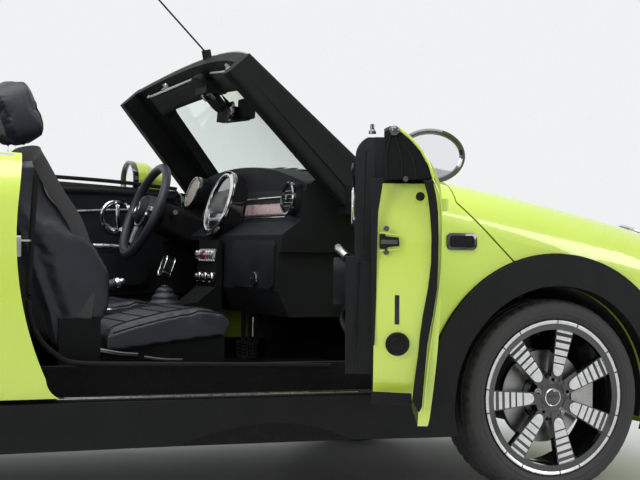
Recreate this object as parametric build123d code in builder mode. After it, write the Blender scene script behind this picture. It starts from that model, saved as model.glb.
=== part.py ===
from build123d import *
import math
import os

# Small two-door, four-seat convertible with its soft top folded down, right door open.
# Millimetres. While it is modelled, x points forward from mid-wheelbase, y to the car's
# left and z up from the floor; at the end every piece is moved together so that the
# origin lies at the bottom centre of the whole car's box.

# Main dimensions of the car
wheelbase = 2495
front_overhang = 785
rear_overhang = 583
track = 1490
tyre_radius = 310.5
tyre_width = 205
rim_radius = 245
steering_lock = 32

# Panels and gaps
skin = 22
shut_gap = 5.5
seat_gap = 0.3
run_gap = 6
clad_proud = 16
trim_proud = 6

# Wheel arches
arch_radius = 354
clad_radius = 454
liner_thick = 12
front_well_inner = 440
rear_well_inner = 600
top_seat_z = 961

# Sills and floor
sill_low_z = 198
clad_top_z = 332
rocker_low_z = 338
rocker_top_z = 425
rocker_half = 806
seat_step_x = -640
rocker_inner = 650
floor_z = 205
floor_thick = 22
tunnel_half = 130
tunnel_top_z = 380

# Doors
door_front_x = 790
door_bottom_z = 345
door_rear_low = (-372, 400)
door_rear_mid = (-462, 770)
door_rear_top = (-425, 1060)
quarter_inner = 760
door_inner = 692
door_upper_inner = 752
door_upper_z = 925
trim_inner = 645
trim_front_x = 550
trim_low_z = 475
trim_step_z = 754
trim_low_inner = 625
door_floor_z = 415
hem = 8
door_front_inner = 735
door_notch_x = 530
hinge_x = 735
hinge_y = 785
door_open_angle = 66.1
door_swing = 67
door_hinge_heights = (520, 790)
leaf_post_y = 720
leaf_half = 6
leaf_height = 40
leaf_clearance = 3
hinge_pin_radius = 9
hinge_pin_height = 64
pin_clearance = 0.06
post_rear_x = 826
post_front_x = 866
post_top_z = 925.7

# Bonnet and boot lid
bonnet_rear_x = 905
bonnet_hinge_x = 850
bonnet_hinge_z = 960
bonnet_arm_y = 580
bonnet_arm_half = 6
bonnet_pin_radius = 6
lid_half = 560
lid_low_z = 590
lid_top_z = 985
lid_hinge_x = -1838
lid_hinge_z = 572
lid_hinge_y = 300
lid_pin_radius = 5

# Windscreen: its base and its top rail, as centre and side points
screen_base_mid = (785, 985)
screen_base_side = (632, 728, 962)
screen_top_mid = (352, 1425)
screen_top_side = (280, 632, 1362)
screen_frame_thick = 44
glass_thick = 5

# Grille and tail lamps
slat_count = 7
tail_lamp_y = 655
tail_lamp_z = 770
tail_lamp_width = 130
tail_lamp_height = 230

# Door mirrors
mirror_x = 315
mirror_y = 850
mirror_z = 1036
mirror_foot_z = 950

# Cabin
seat_y = 360
seat_width = 500
wheel_hand_y = 357
steering_wheel_x = 243
steering_wheel_z = 905
steering_wheel_radius = 184
steering_wheel_tilt = 22
dash_half = 640
dash_top_z = 1050
bulkhead_x = 800

front_axle_x = wheelbase / 2
rear_axle_x = -wheelbase / 2
nose_x = front_axle_x + front_overhang
tail_x = rear_axle_x - rear_overhang
wheel_y = track / 2
far = 3000

# Cross-sections of the body
# columns: x, bottom z, sill half width, widest half width, edge half width, edge z, top z,
# shoulder radius
tail_sections = [
    (tail_x - 30, 250, 640, 740, 700, 985, 1003, 110),
    (rear_axle_x, 190, 800, 850, 838, 1046, 1056, 150),
    (-430, 190, 812, 845, 836, 1050, 1058, 165),
    (800, 190, 812, 845, 832, 1003, 1015, 150),
]
nose_sections = [
    (800, 190, 812, 845, 832, 1003, 1015, 150),
    (1050, 190, 812, 846, 832, 958, 984, 160),
    (1650, 200, 795, 838, 818, 812, 905, 170),
    (nose_x + 20, 230, 690, 735, 690, 715, 762, 130),
]
widest_z = 620
widest_half = 845

finished = []


def body_form(inset):
    """Closed outer form of the body, with every face moved inwards by inset."""
    with BuildPart() as form:
        for sections in (tail_sections, nose_sections):
            for x, low, sill, wide, edge, edge_z, top, shoulder in sections:
                with BuildSketch(Plane.YZ.offset(x)) as outline:
                    with BuildLine():
                        Line((inset - sill, low + inset), (sill - inset, low + inset))
                        ThreePointArc(
                            (sill - inset, low + inset),
                            (wide - inset, widest_z),
                            (edge - inset, edge_z - inset),
                        )
                        ThreePointArc(
                            (edge - inset, edge_z - inset),
                            (0, top - inset),
                            (inset - edge, edge_z - inset),
                        )
                        ThreePointArc(
                            (inset - edge, edge_z - inset),
                            (inset - wide, widest_z),
                            (inset - sill, low + inset),
                        )
                    make_face()
                    fillet(outline.vertices().sort_by(Axis.Y)[-2:], shoulder - inset)
            loft()
        # rounded plan: the corners of nose and tail
        with BuildSketch() as plan:
            with BuildLine():
                ThreePointArc(
                    (nose_x - 165 - inset, inset - 900),
                    (nose_x + 10 - inset, 0),
                    (nose_x - 165 - inset, 900 - inset),
                )
                Line((nose_x - 165 - inset, 900 - inset), (tail_x + 140 + inset, 900 - inset))
                ThreePointArc(
                    (tail_x + 140 + inset, 900 - inset),
                    (tail_x - 10 + inset, 0),
                    (tail_x + 140 + inset, inset - 900),
                )
                Line((tail_x + 140 + inset, inset - 900), (nose_x - 165 - inset, inset - 900))
            make_face()
            fillet(plan.vertices().group_by(Axis.X)[-1], 330 - inset)
            fillet(plan.vertices().group_by(Axis.X)[0], 260 - inset)
        extrude(amount=1500, mode=Mode.INTERSECT)
        # nose and tail as barrels: their side profile turned about an upright axis
        for end_x, radius, way in ((nose_x, 2100, 1), (tail_x, 2600, -1)):
            axis_x = end_x - way * radius
            # drawn on the axis's far side, which keeps the seam away from the end
            low, middle, high, roof = (
                axis_x - way * (radius - inset - back) for back in (110, 0, 75, 160)
            )
            with BuildSketch(Plane.XZ):
                with BuildLine():
                    Line((axis_x, 60), (low, 60))
                    ThreePointArc((low, 60), (middle, 430), (high, 830))
                    Polyline((high, 830), (roof, 1300), (axis_x, 1300), (axis_x, 60))
                make_face()
            revolve(axis=Axis((axis_x, 0, 0), (0, 0, 1)), mode=Mode.INTERSECT)
    return form.part


def finish(piece, name):
    """Labels a finished piece and puts it on the list to be written."""
    piece.label = name
    finished.append(piece)


def opposite(piece, name):
    """The mirror image of a piece, on the car's other side."""
    with BuildPart() as other:
        mirror(piece, about=Plane.XZ)
    finish(other.part, name)
    return other.part


outer_form = body_form(0)
inner_form = body_form(skin)
clad_form = body_form(-clad_proud)
trim_form = body_form(-trim_proud)
outer_seat_form = body_form(-seat_gap)
inner_seat_form = body_form(skin + seat_gap)
hem_form = body_form(hem)

with BuildPart() as shell:
    add(outer_form)
    add(inner_form, mode=Mode.SUBTRACT)

# Where the side panels meet, seen from the side: every border is drawn once and each
# panel's region is drawn in by half the gap
bonnet_corner = (1069, 738)
wing_foot_z = 400
bumper_line = [(1610, 590), (1700, 578), (1895, 585), (1952, 712), (far, 712)]
tail_line = [(-1618, 573), (-1700, 560), (-far, 560)]


def circle_point(axle_x, radius, z, way):
    """Point at height z on a circle round an axle, ahead (1) or behind (-1) of it."""
    rise = z - tyre_radius
    return (axle_x + way * math.sqrt(radius**2 - rise**2), z)


bonnet_foot = circle_point(front_axle_x, clad_radius, bonnet_corner[1], -1)
bumper_top = circle_point(front_axle_x, clad_radius, bumper_line[0][1], 1)
wing_foot = circle_point(front_axle_x, clad_radius, wing_foot_z, -1)
tail_top = circle_point(rear_axle_x, clad_radius, tail_line[0][1], -1)
quarter_foot = circle_point(rear_axle_x, clad_radius, clad_top_z, 1)
crown_front = (front_axle_x, tyre_radius + clad_radius)
crown_rear = (rear_axle_x, tyre_radius + clad_radius)


def region(outline, inner):
    """Block with a side-view outline, on the right side and outboard of inner."""
    with BuildPart() as block:
        with BuildSketch(Plane.XZ.offset(inner)):
            with BuildLine():
                for piece in outline:
                    if len(piece) == 3:
                        ThreePointArc(*piece)
                    else:
                        Line(*piece)
            make_face()
            offset(amount=-shut_gap / 2, kind=Kind.INTERSECTION)
        extrude(amount=far)
    return block.part


bonnet_outline = [
    ((bonnet_rear_x, far), (bonnet_rear_x, 921)),
    ((bonnet_rear_x, 921), bonnet_foot),
    (bonnet_foot, crown_front, bumper_top),
    (bumper_top, bumper_line[1]),
    (bumper_line[1], bumper_line[2]),
    (bumper_line[2], bumper_line[3]),
    (bumper_line[3], bumper_line[4]),
    (bumper_line[4], (far, far)),
    ((far, far), (bonnet_rear_x, far)),
]
wing_outline = [
    ((door_front_x, far), (bonnet_rear_x, far)),
    ((bonnet_rear_x, far), (bonnet_rear_x, 921)),
    ((bonnet_rear_x, 921), bonnet_foot),
    (bonnet_foot, circle_point(front_axle_x, clad_radius, 560, -1), wing_foot),
    (wing_foot, (door_front_x, wing_foot_z)),
    ((door_front_x, wing_foot_z), (door_front_x, far)),
]
door_outline = [
    ((door_front_x, far), (door_front_x, door_bottom_z)),
    ((door_front_x, door_bottom_z), (door_rear_low[0] + 60, door_bottom_z)),
    (
        (door_rear_low[0] + 60, door_bottom_z),
        (door_rear_low[0] + 17, door_bottom_z + 18),
        door_rear_low,
    ),
    (door_rear_low, door_rear_mid, door_rear_top),
    (door_rear_top, (door_rear_top[0], far)),
    ((door_rear_top[0], far), (door_front_x, far)),
]
quarter_outline = [
    (
        door_rear_low,
        (door_rear_low[0] + 17, door_bottom_z + 18),
        (door_rear_low[0] + 60, door_bottom_z),
    ),
    ((door_rear_low[0] + 60, door_bottom_z), (door_rear_low[0] + 60, clad_top_z)),
    ((door_rear_low[0] + 60, clad_top_z), quarter_foot),
    (quarter_foot, crown_rear, tail_top),
    (tail_top, tail_line[1]),
    (tail_line[1], tail_line[2]),
    (tail_line[2], (-far, far)),
    ((-far, far), (door_rear_top[0], far)),
    ((door_rear_top[0], far), door_rear_top),
    (door_rear_top, door_rear_mid, door_rear_low),
]

# Bonnet: a clamshell that takes in the tops of both wings, with holes for the headlamps
lamp_place = Plane(origin=(1708, -576, 706), x_dir=(0.35, 0.94, 0), z_dir=(0.77, -0.3, 0.56))
lamp_half_width = 122
lamp_half_height = 158
lamp_ring = 17


def lamp_bore(growth):
    """Oval tube through the body's skin round the right headlamp's axis."""
    with BuildPart() as bore:
        with BuildSketch(lamp_place):
            Ellipse(lamp_half_width + growth, lamp_half_height + growth)
        extrude(amount=260, both=True)
    return bore.part


lamp_hole = lamp_bore(seat_gap)
with BuildPart() as bonnet_arm:
    with BuildSketch(Plane.XZ.offset(bonnet_arm_y - bonnet_arm_half)):
        with BuildLine():
            Polyline(
                (bonnet_hinge_x, bonnet_hinge_z - 2 * bonnet_pin_radius),
                (bonnet_rear_x + 110, bonnet_hinge_z - 20), (bonnet_rear_x + 110, bonnet_hinge_z),
                (bonnet_hinge_x, bonnet_hinge_z + 2 * bonnet_pin_radius), close=True,
            )
        make_face()
        with Locations((bonnet_hinge_x, bonnet_hinge_z)):
            Circle(2 * bonnet_pin_radius)
            Circle(bonnet_pin_radius + pin_clearance, mode=Mode.SUBTRACT)
    extrude(amount=2 * bonnet_arm_half)
with BuildPart() as bonnet:
    add(region(bonnet_outline, -far / 2))
    add(shell.part, mode=Mode.INTERSECT)
    add(lamp_hole, mode=Mode.SUBTRACT)
    mirror(lamp_hole, about=Plane.XZ, mode=Mode.SUBTRACT)
    add(bonnet_arm.part)
    mirror(bonnet_arm.part, about=Plane.XZ)
finish(bonnet.part, "bonnet")

# Headlamps: a ring that follows the skin and stands a little proud, and a lens in it
ring_bore = lamp_bore(0)
lens_bore = lamp_bore(-lamp_ring)
with BuildPart() as lamp_bezel:
    add(ring_bore)
    add(lens_bore, mode=Mode.SUBTRACT)
    add(trim_form, mode=Mode.INTERSECT)
with BuildPart() as lamp_lens:
    add(lens_bore)
    add(outer_form, mode=Mode.INTERSECT)
with BuildPart() as headlamps:
    add(lamp_bezel.part)
    add(lamp_lens.part)
    add(inner_form, mode=Mode.SUBTRACT)
    with Locations((nose_x - 250, 0, 712)):
        Box(900, 5000, 900, mode=Mode.INTERSECT)
    mirror(about=Plane.XZ)
finish(headlamps.part, "headlamps")


def box_between(low, high, mode=Mode.ADD):
    """Box between two corners, in the block that calls it."""
    with Locations([tuple((a + b) / 2 for a, b in zip(low, high))]):
        Box(*(b - a for a, b in zip(low, high)), mode=mode)


def wheel_ring(axle_x, outer_radius, inner_radius, inner_y, outer_y, mode=Mode.ADD):
    """Ring round an axle on the right side, from inner_y to outer_y off the centre."""
    with BuildSketch(Plane.XZ.offset(inner_y)) as ring:
        with Locations((axle_x, tyre_radius)):
            Circle(outer_radius)
            if inner_radius:
                Circle(inner_radius, mode=Mode.SUBTRACT)
    extrude(ring.sketch, amount=outer_y - inner_y, mode=mode)


# Kingpin: the axis that a front wheel steers about, also the strut's line
kingpin_y = 680
kingpin_z = 250
kingpin_axis = (0, 0.2, 0.98)
spring_radius = 58
strut_radius = 26

# Space that the right door's front edge sweeps round its hinge
door_sweep_radius = math.hypot(door_front_x - hinge_x, widest_half - hinge_y) + run_gap
flange_y = rocker_half - 18

# Ahead of the front axle and behind the rear one the bumpers leave the flanges less room
with BuildPart() as flange_limit:
    wheel_ring(0, far, clad_radius - 6, 500, 900)
    box_between((-far, -900, -far), (0, 0, far), mode=Mode.SUBTRACT)
front_flange_limit = Pos(front_axle_x, 0, 0) * flange_limit.part
rear_flange_limit = Pos(rear_axle_x, 0, 0) * flange_limit.part.mirror(Plane.YZ)
kingpin_plane = Plane(
    origin=(front_axle_x, -kingpin_y, kingpin_z), x_dir=(1, 0, 0), z_dir=kingpin_axis
)
with BuildPart() as strut_cut:
    with BuildSketch(kingpin_plane.offset(150)):
        Circle(spring_radius + 12)
    extrude(amount=400)
strut_hole = strut_cut.part

# Front wings: panel between door and bonnet, flange behind the cladding, inner arch
wing_block = region(wing_outline, door_upper_inner)
with BuildPart() as wing_right:
    add(wing_block)
    add(outer_form, mode=Mode.INTERSECT)
    wheel_ring(front_axle_x, clad_radius + 10, arch_radius, flange_y, rocker_half - seat_gap)
    add(front_flange_limit, mode=Mode.SUBTRACT)
    wheel_ring(
        front_axle_x, arch_radius + liner_thick, arch_radius, front_well_inner, flange_y + 1
    )
    add(strut_hole, mode=Mode.SUBTRACT)
    box_between((0, -900, -far), (far, 0, rocker_low_z + 8), mode=Mode.SUBTRACT)
    box_between((0, -900, 0), (door_front_x + 8, 0, far), mode=Mode.SUBTRACT)
    with Locations((hinge_x, -hinge_y, 500)):
        Cylinder(door_sweep_radius, 2000, mode=Mode.SUBTRACT)
finish(wing_right.part, "wing_right")
opposite(wing_right.part, "wing_left")

def tail_prism(growth):
    """Rounded prism along x where the right tail lamp stands."""
    with BuildPart() as prism:
        with BuildSketch(Plane.YZ.offset(tail_x - 100)):
            with Locations((-tail_lamp_y, tail_lamp_z)):
                RectangleRounded(
                    tail_lamp_width + 2 * growth, tail_lamp_height + 2 * growth, 50 + growth
                )
        extrude(amount=320)
    return prism.part


tail_hole = tail_prism(seat_gap)
tail_bore = tail_prism(0)
tail_core = tail_prism(-14)

# Rear quarters: side wall behind the door, inner arch, corner round to the boot lid
quarter_block = region(quarter_outline, quarter_inner)
with BuildPart() as tail_corner:
    add(region(quarter_outline, lid_half + shut_gap))
    add(shell.part, mode=Mode.INTERSECT)
    box_between((-far, -900, 0), (rear_axle_x - 380, 0, 1010), mode=Mode.INTERSECT)
with BuildPart() as quarter_right:
    add(quarter_block)
    add(outer_form, mode=Mode.INTERSECT)
    wheel_ring(rear_axle_x, arch_radius, 0, rear_well_inner, 900, mode=Mode.SUBTRACT)
    wheel_ring(rear_axle_x, clad_radius + 10, arch_radius, flange_y, rocker_half - seat_gap)
    add(rear_flange_limit, mode=Mode.SUBTRACT)
    wheel_ring(
        rear_axle_x, arch_radius + liner_thick, arch_radius, rear_well_inner, flange_y + 1
    )
    wheel_ring(
        rear_axle_x, arch_radius + 1, 150, rear_well_inner, rear_well_inner + liner_thick
    )
    box_between((-far, -900, -far), (0, 0, rocker_low_z + 8), mode=Mode.SUBTRACT)
    box_between(
        (-1600, -quarter_inner - 2, top_seat_z - 22), (-1070, -quarter_inner + 110, top_seat_z)
    )
    add(tail_corner.part)
    add(tail_hole, mode=Mode.SUBTRACT)
finish(quarter_right.part, "quarter_right")
opposite(quarter_right.part, "quarter_left")

# Cladding: both arches and the sill, proud of the body
with BuildPart() as cladding_right:
    wheel_ring(front_axle_x, clad_radius, arch_radius, rocker_half, 900)
    wheel_ring(rear_axle_x, clad_radius, arch_radius, rocker_half, 900)
    box_between(
        (rear_axle_x + arch_radius + 20, -900, sill_low_z),
        (front_axle_x - arch_radius - 20, -rocker_half, clad_top_z),
    )
    box_between((-far, -900, sill_low_z), (far, 0, far), mode=Mode.INTERSECT)
    add(clad_form, mode=Mode.INTERSECT)
    with Locations((hinge_x, -hinge_y, 500 + rocker_low_z)):
        Cylinder(door_sweep_radius, 1000, mode=Mode.SUBTRACT)
finish(cladding_right.part, "cladding_right")
opposite(cladding_right.part, "cladding_left")

# Body tub: floor, sills, tunnel, bulkhead, door posts, seat step and boot floor
rear_floor_half = rear_well_inner - seat_gap
leaf_angle = math.degrees(math.atan2(hinge_y - leaf_post_y, post_rear_x - hinge_x))
leaf_length = math.hypot(hinge_y - leaf_post_y, post_rear_x - hinge_x)
with BuildPart() as door_leaf:
    for height in door_hinge_heights:
        with BuildSketch(Plane.XY.offset(height - leaf_height / 2)):
            with Locations(Pos(hinge_x, -hinge_y) * Rot(0, 0, leaf_angle)):
                with Locations((leaf_length / 2 + 4, 0)):
                    Rectangle(leaf_length + 8, 2 * leaf_half)
                Circle(1.6 * hinge_pin_radius)
        extrude(amount=leaf_height)
        with Locations((hinge_x, -hinge_y, height)):
            Cylinder(hinge_pin_radius, hinge_pin_height)
with BuildPart() as lid_lug:
    with BuildSketch(Plane.XZ.offset(lid_hinge_y - 12)):
        with Locations((lid_hinge_x, lid_hinge_z)):
            Circle(1.6 * lid_pin_radius)
        with Locations(((lid_hinge_x - 1702) / 2, lid_hinge_z)):
            Rectangle(-1702 - lid_hinge_x, 12)
    extrude(amount=24)
    with BuildSketch(Plane.XZ.offset(lid_hinge_y - 32)):
        with Locations((lid_hinge_x, lid_hinge_z)):
            Circle(lid_pin_radius)
    extrude(amount=64)
with BuildPart() as rear_beam:
    add(inner_seat_form)
    box_between((-far, -500, 440), (-1721, 500, 520), mode=Mode.INTERSECT)
with BuildPart() as floor_pan:
    box_between(
        (seat_step_x, -rocker_inner - 10, floor_z),
        (bulkhead_x + 48, rocker_inner + 10, floor_z + floor_thick),
    )
    for way in (-1, 1):
        low_y, high_y = sorted((way * rocker_inner, way * (rocker_half - seat_gap)))
        box_between((-870, low_y, sill_low_z), (870, high_y, rocker_low_z))
        low_y, high_y = sorted((way * rocker_inner, way * (door_inner - run_gap)))
        box_between((-870, low_y, rocker_low_z - 1), (post_front_x, high_y, rocker_top_z))
        low_y, high_y = sorted((way * 600, way * (door_upper_inner - seat_gap)))
        box_between((post_rear_x, low_y, rocker_low_z - 1), (post_front_x, high_y, post_top_z))
    box_between((bulkhead_x + 26, -601, floor_z), (bulkhead_x + 48, 601, post_top_z))
    box_between((seat_step_x, -tunnel_half, floor_z), (bulkhead_x + 30, tunnel_half, tunnel_top_z))
    box_between((seat_step_x, -rocker_inner, floor_z), (seat_step_x + 20, rocker_inner, 400))
    box_between(
        (-far, -tunnel_half + 24, 0),
        (far, tunnel_half - 24, tunnel_top_z - 24),
        mode=Mode.SUBTRACT,
    )
    box_between((-1000, -rear_floor_half, 378), (seat_step_x + 20, rear_floor_half, 400))
    box_between((-1000, -rear_floor_half, 378), (-980, rear_floor_half, 450))
    box_between((-1702, -rear_floor_half, 430), (-980, rear_floor_half, 450))
    box_between((-1722, -lid_half + 20, 300), (-1702, lid_half - 20, lid_low_z - 5))
    add(rear_beam.part)
    for piece in (door_leaf.part, lid_lug.part):
        add(piece)
        mirror(piece, about=Plane.XZ)
finish(floor_pan.part, "floor_pan")

# Doors, made shut and then turned to where each one stands
def polar(radius, degrees, base=(0, 0)):
    """Point at a radius and an angle from the base point, in plan."""
    angle = math.radians(degrees)
    return (base[0] + radius * math.cos(angle), base[1] + radius * math.sin(angle))


# wedge round the hinge, from the leaf's line with the door shut to its line with it open
pin_point = (hinge_x, -hinge_y)
slot_half = leaf_half + leaf_clearance
slot_shut = polar(slot_half, leaf_angle + 90, pin_point)
slot_open = polar(slot_half, leaf_angle - door_swing - 90, pin_point)
leaf_slot_points = [
    slot_shut,
    polar(120, leaf_angle, slot_shut),
    polar(120, leaf_angle - door_swing, slot_open),
    slot_open,
]

# Outside handle: a bar on two feet
with BuildPart() as door_handle:
    with BuildSketch(Plane.XY.offset(868)):
        with BuildLine():
            Polyline((-350, -800), (-350, -868), (-170, -868), (-170, -800), close=True)
        make_face()
        with Locations((-260, -825)):
            RectangleRounded(120, 62, 10, mode=Mode.SUBTRACT)
    extrude(amount=26)
    fillet(door_handle.edges().filter_by(Axis.Z).group_by(Axis.Y)[0], 14)

# Room for the trim in the top of the door, inside the skin's thin hem
upper_room_x = 500
with BuildPart() as upper_room:
    add(hem_form)
    box_between((-far, -far, door_upper_z), (upper_room_x, 0, far), mode=Mode.INTERSECT)

with BuildPart() as door_shut:
    add(region(door_outline, door_inner))
    add(outer_form, mode=Mode.INTERSECT)
    box_between(
        (-far, -door_upper_inner, door_upper_z), (far, 0, far), mode=Mode.SUBTRACT
    )
    add(upper_room.part, mode=Mode.SUBTRACT)
    box_between((door_notch_x, -door_front_inner, 0), (far, 0, far), mode=Mode.SUBTRACT)
    # below the latch face only the outer skin goes on
    box_between((-far, -800, 0), (far, 0, door_floor_z), mode=Mode.SUBTRACT)
    # slots that the fixed hinge leaves sweep through, and bores for their pins
    for height in door_hinge_heights:
        slot_height = leaf_height + 2 * leaf_clearance
        with BuildSketch(Plane.XY.offset(height - slot_height / 2)) as leaf_slot:
            with BuildLine():
                Polyline(*leaf_slot_points, close=True)
            make_face()
            with Locations((hinge_x, -hinge_y)):
                Circle(1.6 * hinge_pin_radius + leaf_clearance)
        extrude(amount=slot_height, mode=Mode.SUBTRACT)
        with Locations((hinge_x, -hinge_y, height)):
            Cylinder(
                hinge_pin_radius + pin_clearance,
                hinge_pin_height + 2 * leaf_clearance,
                mode=Mode.SUBTRACT,
            )
    add(door_handle.part)
right_hinge = Axis((hinge_x, -hinge_y, 0), (0, 0, 1))
trim_cap_z = 1040
with BuildPart() as trim_round:
    with BuildSketch(Plane.YZ.offset(-700)):
        with BuildLine():
            Polyline((-trim_low_inner, 0), (-trim_low_inner, trim_step_z), (-trim_inner, trim_step_z))
            Line((-trim_inner, trim_step_z), (-trim_inner, trim_cap_z - 50))
            ThreePointArc(
                (-trim_inner, trim_cap_z - 50), (-trim_inner - 15, trim_cap_z - 15),
                (-trim_inner - 50, trim_cap_z),
            )
            Polyline((-trim_inner - 50, trim_cap_z), (-900, trim_cap_z), (-900, 0))
            Line((-900, 0), (-trim_low_inner, 0))
        make_face()
    extrude(amount=1400)
with BuildPart() as trim_top:
    with BuildSketch(Plane.XZ.offset(door_inner - seat_gap - 1)):
        with BuildLine():
            Polyline(
                (490, door_upper_z + seat_gap), (490, 950), (455, 990), (-330, 1035),
                (-415, 1035), (-430, door_upper_z + seat_gap), close=True,
            )
        make_face()
    extrude(amount=200)
    add(Pos(0, 0.4, -0.4) * hem_form, mode=Mode.INTERSECT)
with BuildPart() as door_trim_shut:
    with BuildSketch(Plane.XZ.offset(trim_low_inner)):
        with BuildLine():
            Polyline(
                (trim_front_x, trim_low_z), (trim_front_x, 880), (505, 925), (490, 950), (455, 990)
            )
            Polyline((455, 990), (-330, 1035), (-408, 1035))
            ThreePointArc((-408, 1035), (-440, 770), (-358, trim_low_z))
            Line((-358, trim_low_z), (trim_front_x, trim_low_z))
        make_face()
    extrude(amount=door_inner - seat_gap - trim_low_inner)
    add(trim_top.part)
    add(trim_round.part, mode=Mode.INTERSECT)
    with BuildSketch(Plane.XZ.offset(trim_low_inner - 35)):
        with Locations((110, 690)):
            RectangleRounded(430, 120, 45)
    extrude(amount=36)

# Door mirrors: a housing on a foot at the front of the door's top, glass to the rear
with BuildPart() as mirror_shut:
    with BuildSketch(Plane.YZ.offset(mirror_x)):
        with Locations((-mirror_y, mirror_z)):
            Ellipse(97, 76)
    with BuildSketch(Plane.YZ.offset(mirror_x + 60)):
        with Locations((-mirror_y, mirror_z)):
            Ellipse(93, 71)
    with BuildSketch(Plane.YZ.offset(mirror_x + 125)):
        with Locations((-mirror_y + 8, mirror_z - 4)):
            Ellipse(52, 38)
    loft(ruled=True)
    with BuildSketch(Plane.YZ.offset(mirror_x)):
        with Locations((-mirror_y, mirror_z)):
            Ellipse(85, 64)
    extrude(amount=6, mode=Mode.SUBTRACT)
    with BuildSketch(Plane.XY.offset(mirror_foot_z)):
        with Locations((mirror_x + 190, -mirror_y + 50)):
            RectangleRounded(90, 50, 18)
    with BuildSketch(Plane.XY.offset(mirror_z - 30)):
        with Locations((mirror_x + 100, -mirror_y + 14)):
            RectangleRounded(70, 50, 18)
    loft(ruled=True)
    add(outer_seat_form, mode=Mode.SUBTRACT)

for side_name, turn in (("right", door_open_angle), ("left", 0)):
    for shut_piece, piece_name in (
        (door_shut, "door"), (door_trim_shut, "door_trim"), (mirror_shut, "mirror"),
    ):
        if turn:
            with BuildPart() as opened:
                add(shut_piece.part.rotate(right_hinge, turn))
            finish(opened.part, f"{piece_name}_{side_name}")
        else:
            opposite(shut_piece.part, f"{piece_name}_{side_name}")


# Windscreen: a curved band between an arc at its base and an arc at its top rail
def screen_band(inner, outer):
    """Band round the windscreen's surface, from inner to outer millimetres off it."""
    with BuildPart() as band:
        for middle, side_point in (
            (screen_base_mid, screen_base_side),
            (screen_top_mid, screen_top_side),
        ):
            run = middle[0] - side_point[0]
            rise = middle[1] - side_point[2]
            lie = math.degrees(math.atan2(rise, run))
            slope = math.sin(math.radians(screen_rake + lie))
            arc_plane = Plane(
                origin=(side_point[0], 0, side_point[2]),
                x_dir=(0, 1, 0),
                z_dir=(rise, 0, -run),
            )
            half, bulge = side_point[1], math.hypot(run, rise)
            with BuildSketch(arc_plane):
                with BuildLine():
                    ThreePointArc(
                        (-half, inner / slope), (0, bulge + inner / slope), (half, inner / slope)
                    )
                    Line((half, inner / slope), (half, outer / slope))
                    ThreePointArc(
                        (half, outer / slope), (0, bulge + outer / slope), (-half, outer / slope)
                    )
                    Line((-half, outer / slope), (-half, inner / slope))
                make_face()
        loft(ruled=True)
    return band.part


screen_rake = 50
screen_mid_x = (screen_base_mid[0] + screen_top_mid[0]) / 2
screen_mid_z = (screen_base_mid[1] + screen_top_mid[1]) / 2
screen_run = screen_base_mid[0] - screen_top_mid[0]
screen_rise = screen_top_mid[1] - screen_base_mid[1]
screen_length = math.hypot(screen_run, screen_rise)
screen_plane = Plane(
    origin=(screen_mid_x, 0, screen_mid_z), x_dir=(0, 1, 0), z_dir=(screen_rise, 0, screen_run)
)
frame_band = screen_band(-screen_frame_thick, -1)
pillar_depth = 84
# columns: plane's point, near and far half width, how far it stands off the glass
pillar_sections = [((632, 0, 962), 655, 728, 58), ((280, 0, 1362), 565, 632, 13)]


def pillar_block(growth, beyond=0):
    """Right-hand windscreen pillar, each side moved out by growth, the outer one by more."""
    with BuildPart() as pillar:
        for point, near, wide, stand in pillar_sections:
            with BuildSketch(Plane(origin=point, x_dir=(0, 1, 0), z_dir=(-352, 0, 400))):
                with Locations((-(near + wide + beyond) / 2, (pillar_depth - stand) / 2)):
                    RectangleRounded(
                        wide - near + beyond + 2 * growth, pillar_depth + stand + 2 * growth, 16
                    )
        loft(ruled=True)
    return pillar.part


with BuildPart() as windscreen_frame:
    add(frame_band)
    with BuildSketch(screen_plane) as screen_opening:
        with BuildLine():
            Polyline((-600, -215), (-500, 200), (500, 200), (600, -215))
            ThreePointArc((600, -215), (0, -275), (-600, -215))
        make_face()
        fillet(screen_opening.vertices(), 55)
    extrude(amount=400, both=True, mode=Mode.SUBTRACT)
    # each pillar's foot and the rail that carries it forward to the door post
    for way in (-1, 1):
        low_y, high_y = sorted((way * 662, way * 727))
        box_between((572, low_y, 880), (628, high_y, 968))
        low_y, high_y = sorted((way * 662, way * 703))
        box_between((600, low_y, 880), (post_rear_x - seat_gap, high_y, 920))
    add(pillar_block(0))
    mirror(pillar_block(0), about=Plane.XZ)
finish(windscreen_frame.part, "windscreen_frame")
pillar_room = pillar_block(seat_gap)
glass_limit = pillar_block(seat_gap, 100)
with BuildPart() as windscreen_glass:
    add(screen_band(0, glass_thick))
    add(glass_limit, mode=Mode.SUBTRACT)
    mirror(glass_limit, about=Plane.XZ, mode=Mode.SUBTRACT)
finish(windscreen_glass.part, "windscreen_glass")

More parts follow.
